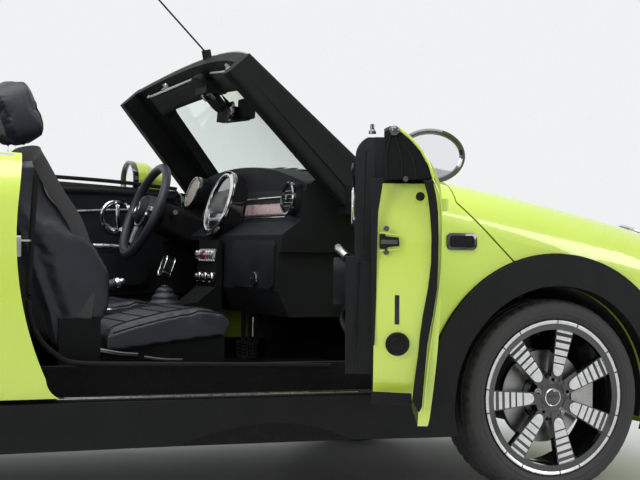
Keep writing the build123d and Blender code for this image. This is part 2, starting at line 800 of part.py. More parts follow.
# Scuttle below the windscreen, with the bulkhead's top as its front edge
with BuildPart() as scuttle:
    with BuildSketch():
        with BuildLine():
            Polyline(
                (bonnet_rear_x - 9, -735), (826, -735), (826, -704), (705, -704)
            )
            ThreePointArc((705, -704), (bulkhead_x + 5, 0), (705, 704))
            Polyline((705, 704), (826, 704), (826, 735), (bonnet_rear_x - 9, 735))
            Line((bonnet_rear_x - 9, 735), (bonnet_rear_x - 9, -735))
        make_face()
    extrude(amount=far)
    add(inner_form, mode=Mode.INTERSECT)
    box_between((0, -far, post_top_z + seat_gap), (far, far, far), mode=Mode.INTERSECT)
    # slots in which the bonnet's arms swing, each crossed by its pin
    for way in (-1, 1):
        low_y, high_y = sorted(
            way * (bonnet_arm_y + side * (bonnet_arm_half + 3)) for side in (-1, 1)
        )
        box_between(
            (bonnet_hinge_x - 18, low_y, 0), (bonnet_rear_x, high_y, far), mode=Mode.SUBTRACT
        )
        with BuildSketch(Plane.XZ.offset(-low_y + 6)):
            with Locations((bonnet_hinge_x, bonnet_hinge_z)):
                Circle(bonnet_pin_radius)
        extrude(amount=-2 * (bonnet_arm_half + 3) - 12)
finish(scuttle.part, "scuttle")

# Front bumper: the nose below the lamps, with the grille's opening and two side intakes
grille_outline = [(-400, 690), (-455, 560), (-400, 330), (400, 330), (455, 560), (400, 690)]
bumper_outline = [
    (bumper_top, bumper_line[1]),
    (bumper_line[1], bumper_line[2]),
    (bumper_line[2], bumper_line[3]),
    (bumper_line[3], bumper_line[4]),
    (bumper_line[4], (far, 195)),
    ((far, 195), circle_point(front_axle_x, clad_radius, 195, 1)),
    (
        circle_point(front_axle_x, clad_radius, 195, 1),
        circle_point(front_axle_x, clad_radius, 400, 1),
        bumper_top,
    ),
]


def nose_prism(outline, growth):
    """Prism along x through the nose, from a front-view outline grown by growth."""
    with BuildPart() as prism:
        with BuildSketch(Plane.YZ.offset(1500)) as front_view:
            with BuildLine():
                Polyline(*outline, close=True)
            make_face()
            offset(amount=growth, kind=Kind.INTERSECTION)
            fillet(front_view.vertices(), 24)
        extrude(amount=1000)
    return prism.part


grille_hole = nose_prism(grille_outline, 3)
grille_rim = nose_prism(grille_outline, 0)
grille_core = nose_prism(grille_outline, -18)
intake_hole = nose_prism([(-700, 470), (-700, 330), (-560, 330), (-540, 470)], 0)
bumper_block = region(bumper_outline, -far / 2)
lamp_room = lamp_bore(run_gap)
with BuildPart() as pierced_block:
    add(bumper_block)
    add(lamp_room, mode=Mode.SUBTRACT)
    mirror(lamp_room, about=Plane.XZ, mode=Mode.SUBTRACT)
    add(grille_hole, mode=Mode.SUBTRACT)
    add(intake_hole, mode=Mode.SUBTRACT)
    mirror(intake_hole, about=Plane.XZ, mode=Mode.SUBTRACT)
with BuildPart() as front_bumper:
    add(pierced_block.part)
    add(shell.part, mode=Mode.INTERSECT)
finish(front_bumper.part, "front_bumper")

# Grille: a frame that follows the nose, crossed by slats and set into the bumper
with BuildPart() as trim_shell:
    add(trim_form)
    add(inner_form, mode=Mode.SUBTRACT)
    box_between((1700, -600, 250), (far, 600, 760), mode=Mode.INTERSECT)
with BuildPart() as nose_shell:
    add(shell.part)
    box_between((1700, -600, 250), (far, 600, 760), mode=Mode.INTERSECT)
slat_pitch = 360 / slat_count
with BuildPart() as grille_slats:
    for count in range(slat_count):
        slat_z = 330 + (count + 0.5) * slat_pitch
        box_between((1700, -460, slat_z - 7), (far, 460, slat_z + 7))
    add(nose_prism(grille_outline, -8), mode=Mode.INTERSECT)
    add(nose_shell.part, mode=Mode.INTERSECT)
with BuildPart() as grille:
    add(grille_rim)
    add(grille_core, mode=Mode.SUBTRACT)
    add(trim_shell.part, mode=Mode.INTERSECT)
    add(grille_slats.part)
finish(grille.part, "grille")

# Boot lid, rear bumper and tail lamps
tail_view = [(-lid_half, lid_low_z), (-lid_half, lid_top_z), (lid_half, lid_top_z), (lid_half, lid_low_z)]
with BuildPart() as boot_lid:
    with BuildSketch(Plane.YZ.offset(tail_x - 200)) as lid_view:
        with BuildLine():
            Polyline(*tail_view, close=True)
        make_face()
        fillet(lid_view.vertices(), 40)
    extrude(amount=500)
    add(shell.part, mode=Mode.INTERSECT)
    box_between((-far, -far, 0), (tail_x + 190, far, lid_top_z), mode=Mode.INTERSECT)
    for way in (-1, 1):
        for side in (-1, 1):
            middle = way * lid_hinge_y + side * 22
            box_between(
                (lid_hinge_x - 7, middle - 7, lid_hinge_z - 7),
                (lid_hinge_x + 30, middle + 7, lid_low_z + 12),
            )
    with BuildSketch(Plane.XZ.offset(-far)):
        with Locations((lid_hinge_x, lid_hinge_z)):
            Circle(lid_pin_radius + pin_clearance)
    extrude(amount=2 * far, mode=Mode.SUBTRACT)
finish(boot_lid.part, "boot_lid")

rear_bumper_outline = [
    (tail_top, tail_line[1]),
    (tail_line[1], tail_line[2]),
    (tail_line[2], (-far, 235)),
    ((-far, 235), circle_point(rear_axle_x, clad_radius, 235, -1)),
    (
        circle_point(rear_axle_x, clad_radius, 235, -1),
        circle_point(rear_axle_x, clad_radius, 400, -1),
        tail_top,
    ),
]
with BuildPart() as rear_bumper_block:
    add(region(rear_bumper_outline, -far / 2))
    # notch that the tail pipes come out through
    box_between((-far, -140, 0), (-1500, 140, 318), mode=Mode.SUBTRACT)
with BuildPart() as rear_bumper:
    add(rear_bumper_block.part)
    add(shell.part, mode=Mode.INTERSECT)
finish(rear_bumper.part, "rear_bumper")


with BuildPart() as tail_bezel:
    add(tail_bore)
    add(tail_core, mode=Mode.SUBTRACT)
    add(trim_form, mode=Mode.INTERSECT)
with BuildPart() as tail_lens:
    add(tail_core)
    add(outer_form, mode=Mode.INTERSECT)
with BuildPart() as tail_lamps:
    add(tail_bezel.part)
    add(tail_lens.part)
    add(inner_form, mode=Mode.SUBTRACT)
    box_between((-far, -far, 0), (tail_x + 200, 0, far), mode=Mode.INTERSECT)
    mirror(about=Plane.XZ)
finish(tail_lamps.part, "tail_lamps")

# Folded soft top: a bundle that lies behind the rear seats
with BuildPart() as soft_top:
    with BuildSketch(Plane.XZ) as top_profile:
        with BuildLine():
            Polyline((-1620, 1022), (-1612, top_seat_z + seat_gap), (-1070, top_seat_z + seat_gap))
            Line((-1070, top_seat_z + seat_gap), (-1062, 1080))
            ThreePointArc((-1062, 1080), (-1090, 1146), (-1165, 1165))
            ThreePointArc((-1165, 1165), (-1440, 1158), (-1660, 1106))
            ThreePointArc((-1660, 1106), (-1704, 1072), (-1700, 1030))
            Line((-1700, 1030), (-1620, 1022))
        make_face()
    extrude(amount=735, both=True)
    with BuildSketch(Plane.YZ.offset(-far)):
        with BuildLine():
            Line((-735, 940), (735, 940))
            Line((735, 940), (735, 1040))
            ThreePointArc((735, 1040), (690, 1110), (560, 1140))
            ThreePointArc((560, 1140), (0, 1166), (-560, 1140))
            ThreePointArc((-560, 1140), (-690, 1110), (-735, 1040))
            Line((-735, 1040), (-735, 940))
        make_face()
    extrude(amount=2 * far, mode=Mode.INTERSECT)
finish(soft_top.part, "soft_top")

# Dashboard: one moulding with a glovebox, cut to clear the windscreen's frame
screen_keepout = screen_band(-screen_frame_thick - 8, 500)
dash_front_x = bulkhead_x + 26 - seat_gap
with BuildPart() as dashboard:
    with BuildSketch(Plane.XZ) as dash_profile:
        with BuildLine():
            Polyline((470, 955), (500, 985), (640, 1000), (dash_front_x, 940), (dash_front_x, 620))
            Polyline((dash_front_x, 620), (640, 560), (430, 560), (390, 640), (395, 815))
            Polyline((395, 815), (455, 860), (470, 955))
        make_face()
    extrude(amount=dash_half, both=True)
    # arched pad along the top
    with BuildSketch(Plane.YZ.offset(476)):
        with BuildLine():
            ThreePointArc((-dash_half, 975), (0, dash_top_z), (dash_half, 975))
            Polyline((dash_half, 975), (dash_half, 930), (-dash_half, 930), (-dash_half, 975))
        make_face()
    extrude(amount=180)
    add(screen_keepout, mode=Mode.SUBTRACT)
    add(pillar_room, mode=Mode.SUBTRACT)
    mirror(pillar_room, about=Plane.XZ, mode=Mode.SUBTRACT)
    box_between((705, -far, 918), (far, far, far), mode=Mode.SUBTRACT)
    # driver's knee room, left of the centre stack
    box_between((300, 120, 0), (600, far, 800), mode=Mode.SUBTRACT)
    # room for the right door's trim when that door is shut
    box_between(
        (300, -far, 0), (600, -trim_low_inner + 6, trim_step_z + 8), mode=Mode.SUBTRACT
    )
    for way in (-1, 1):
        with Locations(Plane(origin=(470, way * 575, 925), z_dir=(-1, 0, 0.1))):
            Cylinder(52, 60)
finish(dashboard.part, "dashboard")

# Centre console with its stack, gear lever and hand brake lever
display_tilt = math.radians(18)
display_axis = (-math.cos(display_tilt), 0, math.sin(display_tilt))
with BuildPart() as centre_console:
    with BuildSketch(Plane.XZ):
        with BuildLine():
            Polyline(
                (385, tunnel_top_z), (384, 800), (370, 800), (360, 640), (300, 590), (110, 555),
                (-330, 555), (-350, 540), (-350, tunnel_top_z), (385, tunnel_top_z),
            )
        make_face()
    extrude(amount=105, both=True)
    with BuildSketch(Plane.XY.offset(550)):
        with Locations((215, 0)):
            Circle(48)
    with BuildSketch(Plane.XY.offset(640)):
        with Locations((215, 0)):
            Circle(16)
    loft()
    with Locations((215, 0, 665)):
        Cylinder(8, 90)
    with Locations(Pos(220, 0, 706) * Rot(0, 20, 0)):
        Box(28, 44, 66)
    with Locations(Plane(origin=(-80, -50, 612), z_dir=(0.93, 0, 0.33))):
        Cylinder(16, 260)
finish(centre_console.part, "centre_console")

with BuildPart() as round_display:
    with Locations(Plane(origin=(436, 0, 917), z_dir=display_axis)):
        Cylinder(118, 70)
        with Locations((0, 0, 35)):
            Cylinder(96, 12, mode=Mode.SUBTRACT)
    add(dashboard.part, mode=Mode.SUBTRACT)
finish(round_display.part, "round_display")

# Steering: column and shroud on the dash, with the driver's display, then the wheel
tilt = math.radians(steering_wheel_tilt)
column_axis = (-math.cos(tilt), 0, math.sin(tilt))
hub_plane = Plane(
    origin=(steering_wheel_x, wheel_hand_y, steering_wheel_z), x_dir=(0, 1, 0), z_dir=column_axis
)
with BuildPart() as steering_column:
    with BuildSketch(hub_plane.offset(-60)):
        RectangleRounded(120, 110, 30)
    with BuildSketch(hub_plane.offset(-250)):
        RectangleRounded(150, 130, 30)
    loft(ruled=True)
    with BuildSketch(hub_plane.offset(-34 - seat_gap)):
        Circle(16)
    extrude(amount=-70)
    with Locations(Plane(origin=(448, wheel_hand_y, 968), z_dir=(-0.95, 0, 0.31))):
        Cylinder(62, 50)
    box_between((420, wheel_hand_y - 25, 850), (462, wheel_hand_y + 25, 950))
    add(dashboard.part, mode=Mode.SUBTRACT)
finish(steering_column.part, "steering_column")

rim_tube = 16
with BuildPart() as steering_wheel:
    with BuildSketch(Plane(origin=hub_plane.origin, x_dir=hub_plane.z_dir, z_dir=(0, 1, 0))) as tube:
        with Locations((0, steering_wheel_radius - rim_tube)):
            Circle(rim_tube)
    revolve(axis=Axis(hub_plane.origin, hub_plane.z_dir))
    with BuildSketch(hub_plane.offset(-34)):
        Circle(66)
    with BuildSketch(hub_plane.offset(10)):
        Circle(56)
    loft()
    for angle in (0, 90, 180):
        with BuildSketch(hub_plane.offset(-18)) as spoke:
            with Locations(Rotation(0, 0, angle) * Pos(steering_wheel_radius / 2 + 10, 0)):
                Rectangle(steering_wheel_radius - 44, 42)
        extrude(amount=16)
finish(steering_wheel.part, "steering_wheel")

# Front seats: base on rails, cushion, backrest and head restraint each side
seat_lean = 21
back_plane = Plane(
    origin=(-215, 0, 500),
    x_dir=(0, 1, 0),
    z_dir=(math.cos(math.radians(seat_lean)), 0, math.sin(math.radians(seat_lean))),
)
with BuildPart() as seat_bases:
    for way in (-1, 1):
        for rail_y in (-170, 170):
            with Locations((30, way * seat_y + rail_y, floor_z + floor_thick + 25)):
                Box(460, 40, 50)
        with BuildSketch(Plane.XZ.offset(way * seat_y - 215)):
            with BuildLine():
                Polyline((-195, 276), (-195, 450), (235, 500), (235, 276), close=True)
            make_face()
        extrude(amount=430)
        # recliner brackets either side of the backrest's foot
        for side in (-1, 1):
            low_y, high_y = sorted(way * seat_y + side * edge for edge in (205, 254))
            box_between((-215, low_y, tunnel_top_z + seat_gap), (-165, high_y, 399))
            low_y, high_y = sorted(way * seat_y + side * edge for edge in (240.3, 254))
            box_between((-290, low_y, tunnel_top_z + seat_gap), (-165, high_y, 560))
finish(seat_bases.part, "seat_bases")
with BuildPart() as seat_cushions:
    with BuildSketch(Plane.XZ.offset(seat_y - seat_width / 2)) as cushion_profile:
        with BuildLine():
            Polyline(
                (-150, 455.6), (-150, 508), (-60, 537), (60, 566), (160, 581), (232, 572),
                (262, 545), (240, 501), (-150, 455.6),
            )
        make_face()
        fillet(cushion_profile.vertices(), 12)
    extrude(amount=seat_width)
    mirror(about=Plane.XZ)
finish(seat_cushions.part, "seat_cushions")
with BuildPart() as seat_backrests:
    with BuildSketch(back_plane.offset(-70)) as back_low:
        with Locations((-seat_y, 0)):
            with Locations((0, 280)):
                RectangleRounded(480, 580, 60)
    extrude(amount=130)
    # side bolsters, deepest at the waist
    for low_y in (seat_y - 240, seat_y + 170):
        with BuildSketch(Plane.XZ.offset(low_y)):
            with BuildLine():
                Polyline(
                    (-150, 500), (-128, 600), (-131, 700), (-175, 775), (-240, 845), (-310, 925),
                    (-365, 993), (-410, 1030), (-440, 1000), (-290, 470), (-215, 460), close=True,
                )
            make_face()
        extrude(amount=70)
    box_between((-160, -far, 0), (far, far, 545), mode=Mode.SUBTRACT)
    mirror(about=Plane.XZ)
finish(seat_backrests.part, "seat_backrests")
with BuildPart() as head_restraints:
    with BuildSketch(back_plane.offset(35)):
        with Locations((-seat_y, 690)):
            RectangleRounded(270, 190, 60)
    extrude(amount=100)
    with BuildSketch(back_plane.offset(38)):
        with Locations((-seat_y - 60, 590), (-seat_y + 60, 590)):
            Rectangle(12, 39.4)
    extrude(amount=12)
    mirror(about=Plane.XZ)
finish(head_restraints.part, "head_restraints")

# Rear bench: cushion and backrest
with BuildPart() as rear_bench:
    with BuildSketch(Plane.XZ) as bench_profile:
        with BuildLine():
            Polyline(
                (-975, 400.3), (-560, 400.3), (-540, 440), (-550, 520), (-880, 490), (-960, 930),
                (-1040, 930), (-1035, 700), (-975, 460), (-975, 400.3),
            )
        make_face()
        fillet(bench_profile.vertices(), 14)
    extrude(amount=570, both=True)
    for way in (-1, 1):
        with BuildSketch(Plane.XY.offset(925)):
            with Locations((-1000, way * 290)):
                RectangleRounded(70, 240, 30)
        extrude(amount=135)
finish(rear_bench.part, "rear_bench")

# Side trim beside the rear seats
with BuildPart() as cabin_trim:
    with BuildSketch(Plane.XZ.offset(quarter_inner - 56)):
        with BuildLine():
            Polyline(
                (-480, 340), (-480, 1020), (-1040, 1020), (-1040, 640), (-880, 440), (-880, 340),
                close=True,
            )
        make_face()
    extrude(amount=56 - seat_gap)
    wheel_ring(rear_axle_x, arch_radius + liner_thick + 4, 0, 0, 900, mode=Mode.SUBTRACT)
    mirror(about=Plane.XZ)
finish(cabin_trim.part, "cabin_trim")

# Pedals hung from the bulkhead
with BuildPart() as pedals:
    for pedal_y, pedal_width in ((300, 45), (370, 70), (440, 45)):
        box_between((650, pedal_y - 8, 420), (664, pedal_y + 8, 544))
        box_between((638, pedal_y - pedal_width / 2, 360), (652, pedal_y + pedal_width / 2, 425))
        box_between((650, pedal_y - 8, 530), (bulkhead_x + 25.7, pedal_y + 8, 544))
finish(pedals.part, "pedals")

# Interior mirror, roof console and sun visors under the windscreen's top rail
with BuildPart() as cabin_mirror:
    with Locations(Plane(origin=(458, 6, 1242), x_dir=(0.2, -0.97, 0), z_dir=(-0.97, -0.2, 0.1))):
        Box(170, 58, 34)
    with Locations(Plane(origin=(436, 0, 1278), z_dir=(-0.5, 0, 0.86))):
        Cylinder(10, 90)
    with Locations((385, 0, 1322)):
        Box(100, 120, 40)
    add(screen_band(-screen_frame_thick - seat_gap, 300), mode=Mode.SUBTRACT)
finish(cabin_mirror.part, "cabin_mirror")

# Roof aerial on the top rail
with BuildPart() as antenna:
    with Locations(Plane(origin=(355, 0, 1439), z_dir=(-0.2, 0, 1))):
        Cylinder(16, 30)
    with Locations(Plane(origin=(355 - 125, 0, 1442 + 125), z_dir=(-1, 0, 1))):
        Cylinder(3, 360)
    add(screen_band(-200, glass_thick + seat_gap), mode=Mode.SUBTRACT)
finish(antenna.part, "antenna")

# Engine, as one plain block, with the subframe, lower arms and struts that flank it
with BuildPart() as engine:
    box_between((930, -320, 270 + seat_gap), (1560, 320, 800))
    fillet(engine.edges().filter_by(Axis.Z), 40)
finish(engine.part, "engine")
arm_top_z = kingpin_z - 8
with BuildPart() as front_side:
    box_between((front_axle_x - 36, -kingpin_y - 26, arm_top_z - 26), (front_axle_x + 36, -370, arm_top_z))
    with BuildSketch(kingpin_plane.offset(-20)):
        Circle(10)
    extrude(amount=40)
    with BuildSketch(kingpin_plane.offset(168)):
        Circle(strut_radius)
    extrude(amount=392)
    with BuildSketch(kingpin_plane.offset(424)):
        Circle(spring_radius)
    extrude(amount=130)
    box_between((front_axle_x - 75, -640, 800), (front_axle_x + 75, -380, 815))
    box_between((front_axle_x - 100, -430, 214), (front_axle_x + 100, -400, 815))
with BuildPart() as front_beam:
    add(inner_seat_form)
    box_between((1880, -560, 440), (far, 560, 520), mode=Mode.INTERSECT)
with BuildPart() as front_subframe:
    box_between((960, -401, 214), (1480, 401, 270))
    for way in (-1, 1):
        low_y, high_y = sorted((way * 300, way * 400))
        box_between((bulkhead_x + 48 + seat_gap, low_y, 214), (961, high_y, 270))
        low_y, high_y = sorted((way * 400, way * 430))
        box_between((1300, low_y, 440), (1900, high_y, 520))
    add(front_beam.part)
    add(front_side.part)
    mirror(front_side.part, about=Plane.XZ)
finish(front_subframe.part, "front_subframe")

hub_bore = 30
disc_out = 20
# Brake caliper: a block round the disc's front edge, with room for the disc to turn
with BuildPart() as caliper:
    box_between((88, -50, -60), (168, 34, 60))
    box_between((0, -disc_out - 5, -far), (far, 7, far), mode=Mode.SUBTRACT)
    box_between((150, -50, -60), (168, 34, 60))
    wheel_limit = Cylinder(178, 600, rotation=(90, 0, 0), mode=Mode.INTERSECT)

# Rear axle: a beam on two trailing arms with a spindle and caliper at each end
with BuildPart() as rear_side:
    box_between((rear_axle_x - 70, -590, 250), (rear_axle_x + 360, -520, 330))
    box_between((rear_axle_x - 45, -590, 329), (rear_axle_x + 45, -520, 430 - seat_gap))
    with Locations(Plane(origin=(rear_axle_x, -640, tyre_radius), z_dir=(0, 1, 0))):
        Cylinder(60, 120)
    with Locations(Plane(origin=(rear_axle_x, -(wheel_y + 5), tyre_radius), z_dir=(0, 1, 0))):
        Cylinder(hub_bore, 96)
    with Locations((rear_axle_x, -wheel_y, tyre_radius)):
        add(caliper.part)
    box_between(
        (rear_axle_x + 30, -wheel_y + 8, tyre_radius - 30),
        (rear_axle_x + 160, -wheel_y + 34, tyre_radius + 30),
    )
    box_between(
        (rear_axle_x + 30, -wheel_y + 8, tyre_radius - 30),
        (rear_axle_x + 90, -590, tyre_radius + 30),
    )
with BuildPart() as rear_axle:
    with Locations(Plane(origin=(rear_axle_x + 90, 0, 330), z_dir=(0, 1, 0))):
        Cylinder(34, 2 * 540)
    add(rear_side.part)
    mirror(rear_side.part, about=Plane.XZ)
finish(rear_axle.part, "rear_axle")

# Fuel tank under the rear seat and exhaust along the tunnel
with BuildPart() as fuel_tank:
    box_between((-975, -500, 215), (seat_step_x - 10, -150, 378 - seat_gap))
    box_between((-975, 150, 215), (seat_step_x - 10, 500, 378 - seat_gap))
    box_between((-975, -160, 290), (seat_step_x - 10, 160, 378 - seat_gap))
finish(fuel_tank.part, "fuel_tank")
with BuildPart() as exhaust:
    with Locations(Plane(origin=(-320, 0, 240), z_dir=(1, 0, 0))):
        Cylinder(25, 2200)
    with BuildSketch(Plane.YZ.offset(-1660)):
        with Locations((0, 262)):
            RectangleRounded(520, 110, 50)
    extrude(amount=250)
    # two tail pipes, and the hangers under the boot floor
    for way in (-1, 1):
        with Locations(Plane(origin=(-1740, way * 62, 262), z_dir=(1, 0, 0))):
            Cylinder(38, 190)
            Cylinder(34, 190, mode=Mode.SUBTRACT)
        with Locations(Plane(origin=(-1690, way * 62, 262), z_dir=(1, 0, 0))):
            Cylinder(36, 64)
        low_y, high_y = sorted((way * 190, way * 210))
        box_between((-1545, low_y, 316), (-1525, high_y, 430 - seat_gap))
finish(exhaust.part, "exhaust")

# Wheels: tyre, seven-spoke wheel with its brake disc, and steered uprights in front
bead_radius = rim_radius - 13 + seat_gap
with BuildPart() as tyre:
    with BuildSketch(Plane.XY) as tyre_profile:
        with BuildLine():
            Polyline(
                (bead_radius, -84.7), (bead_radius, 84.7), (rim_radius + 0.5, 87.7),
                (rim_radius + 12, 100), (rim_radius + 36, tyre_width / 2),
                (tyre_radius - 11, 93), (tyre_radius, 76), (tyre_radius, -76),
                (tyre_radius - 11, -93), (rim_radius + 36, -tyre_width / 2),
                (rim_radius + 12, -100), (rim_radius + 0.5, -87.7), (bead_radius, -84.7),
            )
        make_face()
    revolve(axis=Axis.Y)

spoke_count = 7
spoke_out = rim_radius - 24
spoke_face = 84
pad_proud = 1.5
# columns: start and end of each pad, as distances from the wheel's centre
spoke_pads = [(87, 106), (110.5, 130), (135.5, 151), (158, 174), (183, 195), (206, 216)]


def spoke_half(radius):
    """Half a spoke's width at a distance from the wheel's centre."""
    return 13.5 + 0.09 * radius


disc_radius = 147
bolt_circle = 56
with BuildPart() as alloy:
    with BuildSketch(Plane.XY) as barrel_profile:
        with BuildLine():
            Polyline(
                (rim_radius - 30, -90), (rim_radius - 2, -94), (rim_radius, -88),
                (rim_radius - 13, -85), (rim_radius - 13, 85), (rim_radius, 88),
                (rim_radius - 2, 94), (rim_radius - 26, 90), (rim_radius - 26, -60), close=True,
            )
        make_face()
    revolve(axis=Axis.Y)
    with BuildSketch(Plane.XZ.offset(54)):
        Circle(72)
    with BuildSketch(Plane.XZ.offset(78)):
        Circle(64)
    loft()
    for count in range(spoke_count):
        angle = 181.6 + count * 360 / spoke_count
        with BuildSketch(Plane.XZ.offset(58)):
            with Locations(Rotation(0, 0, angle)):
                Polygon(
                    (45, -spoke_half(45)), (spoke_out, -spoke_half(spoke_out)),
                    (spoke_out, spoke_half(spoke_out)), (45, spoke_half(45)), align=None,
                )
        extrude(amount=spoke_face - 58)
        # bright pads along the spoke, the innermost with a round end
        with BuildSketch(Plane.XZ.offset(spoke_face - 1)):
            with Locations(Rotation(0, 0, angle)):
                for start, end in spoke_pads:
                    Polygon(
                        (start, 1 - spoke_half(start)), (end, 1 - spoke_half(end)),
                        (end, spoke_half(end) - 1), (start, spoke_half(start) - 1), align=None,
                    )
                with Locations((spoke_pads[0][0], 0)):
                    Circle(spoke_half(spoke_pads[0][0]) - 1)
        extrude(amount=1 + pad_proud)
    with BuildSketch(Plane.XZ.offset(40)):
        with PolarLocations(bolt_circle, 5):
            Circle(8)
    extrude(amount=60, mode=Mode.SUBTRACT)
with BuildPart() as disc:
    with BuildSketch(Plane.XZ.offset(-2)):
        Circle(disc_radius)
        Circle(hub_bore + seat_gap, mode=Mode.SUBTRACT)
    extrude(amount=22)
    with BuildSketch(Plane.XZ.offset(19)):
        Circle(76)
        Circle(hub_bore + seat_gap, mode=Mode.SUBTRACT)
    extrude(amount=54 - 19 - seat_gap)

for corner, axle_x, way in (
    ("front_right", front_axle_x, 1), ("front_left", front_axle_x, -1),
    ("rear_right", rear_axle_x, 1), ("rear_left", rear_axle_x, -1),
):
    for source_parts, piece_name in (((tyre,), "tyre"), ((alloy, disc), "wheel")):
        with BuildPart() as placed:
            with Locations((axle_x, -wheel_y, tyre_radius)):
                for source_part in source_parts:
                    add(source_part.part)
        if way == 1:
            finish(placed.part, f"{piece_name}_{corner}")
        else:
            opposite(placed.part, f"{piece_name}_{corner}")

with BuildPart() as knuckle_right:
    with Locations(Plane(origin=(front_axle_x, -(wheel_y - 32), tyre_radius), z_dir=(0, 1, 0))):
        Cylinder(62, 48)
    with Locations(Plane(origin=(front_axle_x, -(wheel_y + 5), tyre_radius), z_dir=(0, 1, 0))):
        Cylinder(hub_bore, 96)
    with BuildSketch(kingpin_plane.offset(2)):
        RectangleRounded(60, 52, 20)
    extrude(amount=198)
    with BuildSketch(kingpin_plane.offset(-12)):
        Circle(10 + seat_gap)
    extrude(amount=38, mode=Mode.SUBTRACT)
    with BuildSketch(kingpin_plane.offset(162)):
        Circle(44)
    extrude(amount=40)
    with BuildSketch(kingpin_plane.offset(162)):
        Circle(strut_radius + seat_gap)
    extrude(amount=60, mode=Mode.SUBTRACT)
    with Locations((front_axle_x, -wheel_y, tyre_radius)):
        add(caliper.part)
    box_between(
        (front_axle_x + 20, -wheel_y + 8, tyre_radius - 30),
        (front_axle_x + 160, -wheel_y + 34, tyre_radius + 30),
    )
finish(knuckle_right.part, "knuckle_right")
opposite(knuckle_right.part, "knuckle_left")

# The origin goes to the bottom centre of the whole car's box
whole_box = Compound(children=[Compound(piece.wrapped) for piece in finished]).bounding_box()
to_origin = Pos(-whole_box.center().X, -whole_box.center().Y, -whole_box.min.Z)
os.makedirs("parts", exist_ok=True)
for piece in finished:
    name = piece.label
    moved = to_origin * piece
    moved.label = name
    export_step(moved, f"parts/{name}.step")
print("origin moved by", to_origin.position, "box", whole_box)
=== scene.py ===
"""Looks of a small two-door soft-top convertible with its right door open and its top folded down.

Lengths are metres. Coordinates are written in the car's own frame, whose origin is on the
floor midway between the axles, x forward, y to the car's left, z up; place() moves them
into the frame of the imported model.
"""

import math

import bmesh
import bpy
from mathutils import Matrix, Vector
from mathutils.bvhtree import BVHTree


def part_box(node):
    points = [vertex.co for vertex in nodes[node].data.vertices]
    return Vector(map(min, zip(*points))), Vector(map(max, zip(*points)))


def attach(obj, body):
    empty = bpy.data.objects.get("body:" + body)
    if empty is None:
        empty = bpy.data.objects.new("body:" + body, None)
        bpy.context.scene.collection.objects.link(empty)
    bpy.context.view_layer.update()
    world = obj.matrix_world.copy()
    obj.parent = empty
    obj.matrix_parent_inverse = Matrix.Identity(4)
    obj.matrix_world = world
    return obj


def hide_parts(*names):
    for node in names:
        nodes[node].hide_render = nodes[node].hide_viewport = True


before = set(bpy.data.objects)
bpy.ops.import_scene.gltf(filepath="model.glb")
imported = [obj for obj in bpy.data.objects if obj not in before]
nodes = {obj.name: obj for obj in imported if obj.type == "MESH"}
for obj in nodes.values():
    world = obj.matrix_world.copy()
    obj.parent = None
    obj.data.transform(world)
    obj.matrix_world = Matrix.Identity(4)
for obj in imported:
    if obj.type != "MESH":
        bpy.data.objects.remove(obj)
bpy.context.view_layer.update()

# Where the car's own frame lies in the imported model's frame
WHEELBASE = 2.495
WHEEL_Y = 0.745
WHEEL_Z = 0.3105
corner_boxes = [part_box("tyre_front_left"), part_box("tyre_rear_right")]
SHIFT = sum((low + high for low, high in corner_boxes), Vector()) / 4 - Vector((0, 0, WHEEL_Z))
SIDES = (("right", -1), ("left", 1))
CORNERS = (
    ("front_right", WHEELBASE / 2, -1), ("front_left", WHEELBASE / 2, 1),
    ("rear_right", -WHEELBASE / 2, -1), ("rear_left", -WHEELBASE / 2, 1),
)

# Camera, from the photograph's perspective
FOCAL_PIXELS = 1572.557
PICTURE = (640, 480)
MIDDLE = (PICTURE[0] / 2, PICTURE[1] / 2)
EYE = Vector((-1.33555, -5.15962, 0.76716))
YAW, PITCH, ROLL = 0.389861, 0.0067868, 0.0111094
forward = Vector(
    (math.sin(YAW) * math.cos(PITCH), math.cos(YAW) * math.cos(PITCH), math.sin(PITCH))
)
level = Vector((math.cos(YAW), -math.sin(YAW), 0))
upright = level.cross(forward)
right = math.cos(ROLL) * level + math.sin(ROLL) * upright
above = -math.sin(ROLL) * level + math.cos(ROLL) * upright

camera_data = bpy.data.cameras.new("photo_camera")
camera_data.sensor_width = 36
camera_data.lens = FOCAL_PIXELS / PICTURE[0] * camera_data.sensor_width
camera_data.clip_end = 200
camera = bpy.data.objects.new("photo_camera", camera_data)
bpy.context.scene.collection.objects.link(camera)
axes = Matrix((right, above, -forward)).transposed()
camera.matrix_world = Matrix.Translation(EYE + SHIFT) @ axes.to_4x4()
bpy.context.scene.camera = camera

# Turn of the open door about its hinge
HINGE = Vector((0.735, -0.785, 0))
DOOR_TURN = math.radians(66.1)
OPENED = (
    Matrix.Translation(HINGE) @ Matrix.Rotation(DOOR_TURN, 4, "Z") @ Matrix.Translation(-HINGE)
)


# Materials
def principled(name):
    """New node material with its principled shader."""
    made = bpy.data.materials.new(name)
    made.use_nodes = True
    return made, made.node_tree.nodes["Principled BSDF"]


def noise_of(tree, scale, detail=3.0, rough=0.5, kind="ShaderNodeTexNoise", stretch=(1, 1, 1)):
    """Noise in metres on the object's own coordinates."""
    where = tree.nodes.new("ShaderNodeTexCoord")
    spread = tree.nodes.new("ShaderNodeMapping")
    spread.inputs["Scale"].default_value = stretch
    tree.links.new(where.outputs["Object"], spread.inputs["Vector"])
    grain = tree.nodes.new(kind)
    grain.inputs["Scale"].default_value = scale
    if kind == "ShaderNodeTexNoise":
        grain.inputs["Detail"].default_value = detail
        grain.inputs["Roughness"].default_value = rough
    tree.links.new(spread.outputs["Vector"], grain.inputs["Vector"])
    return grain


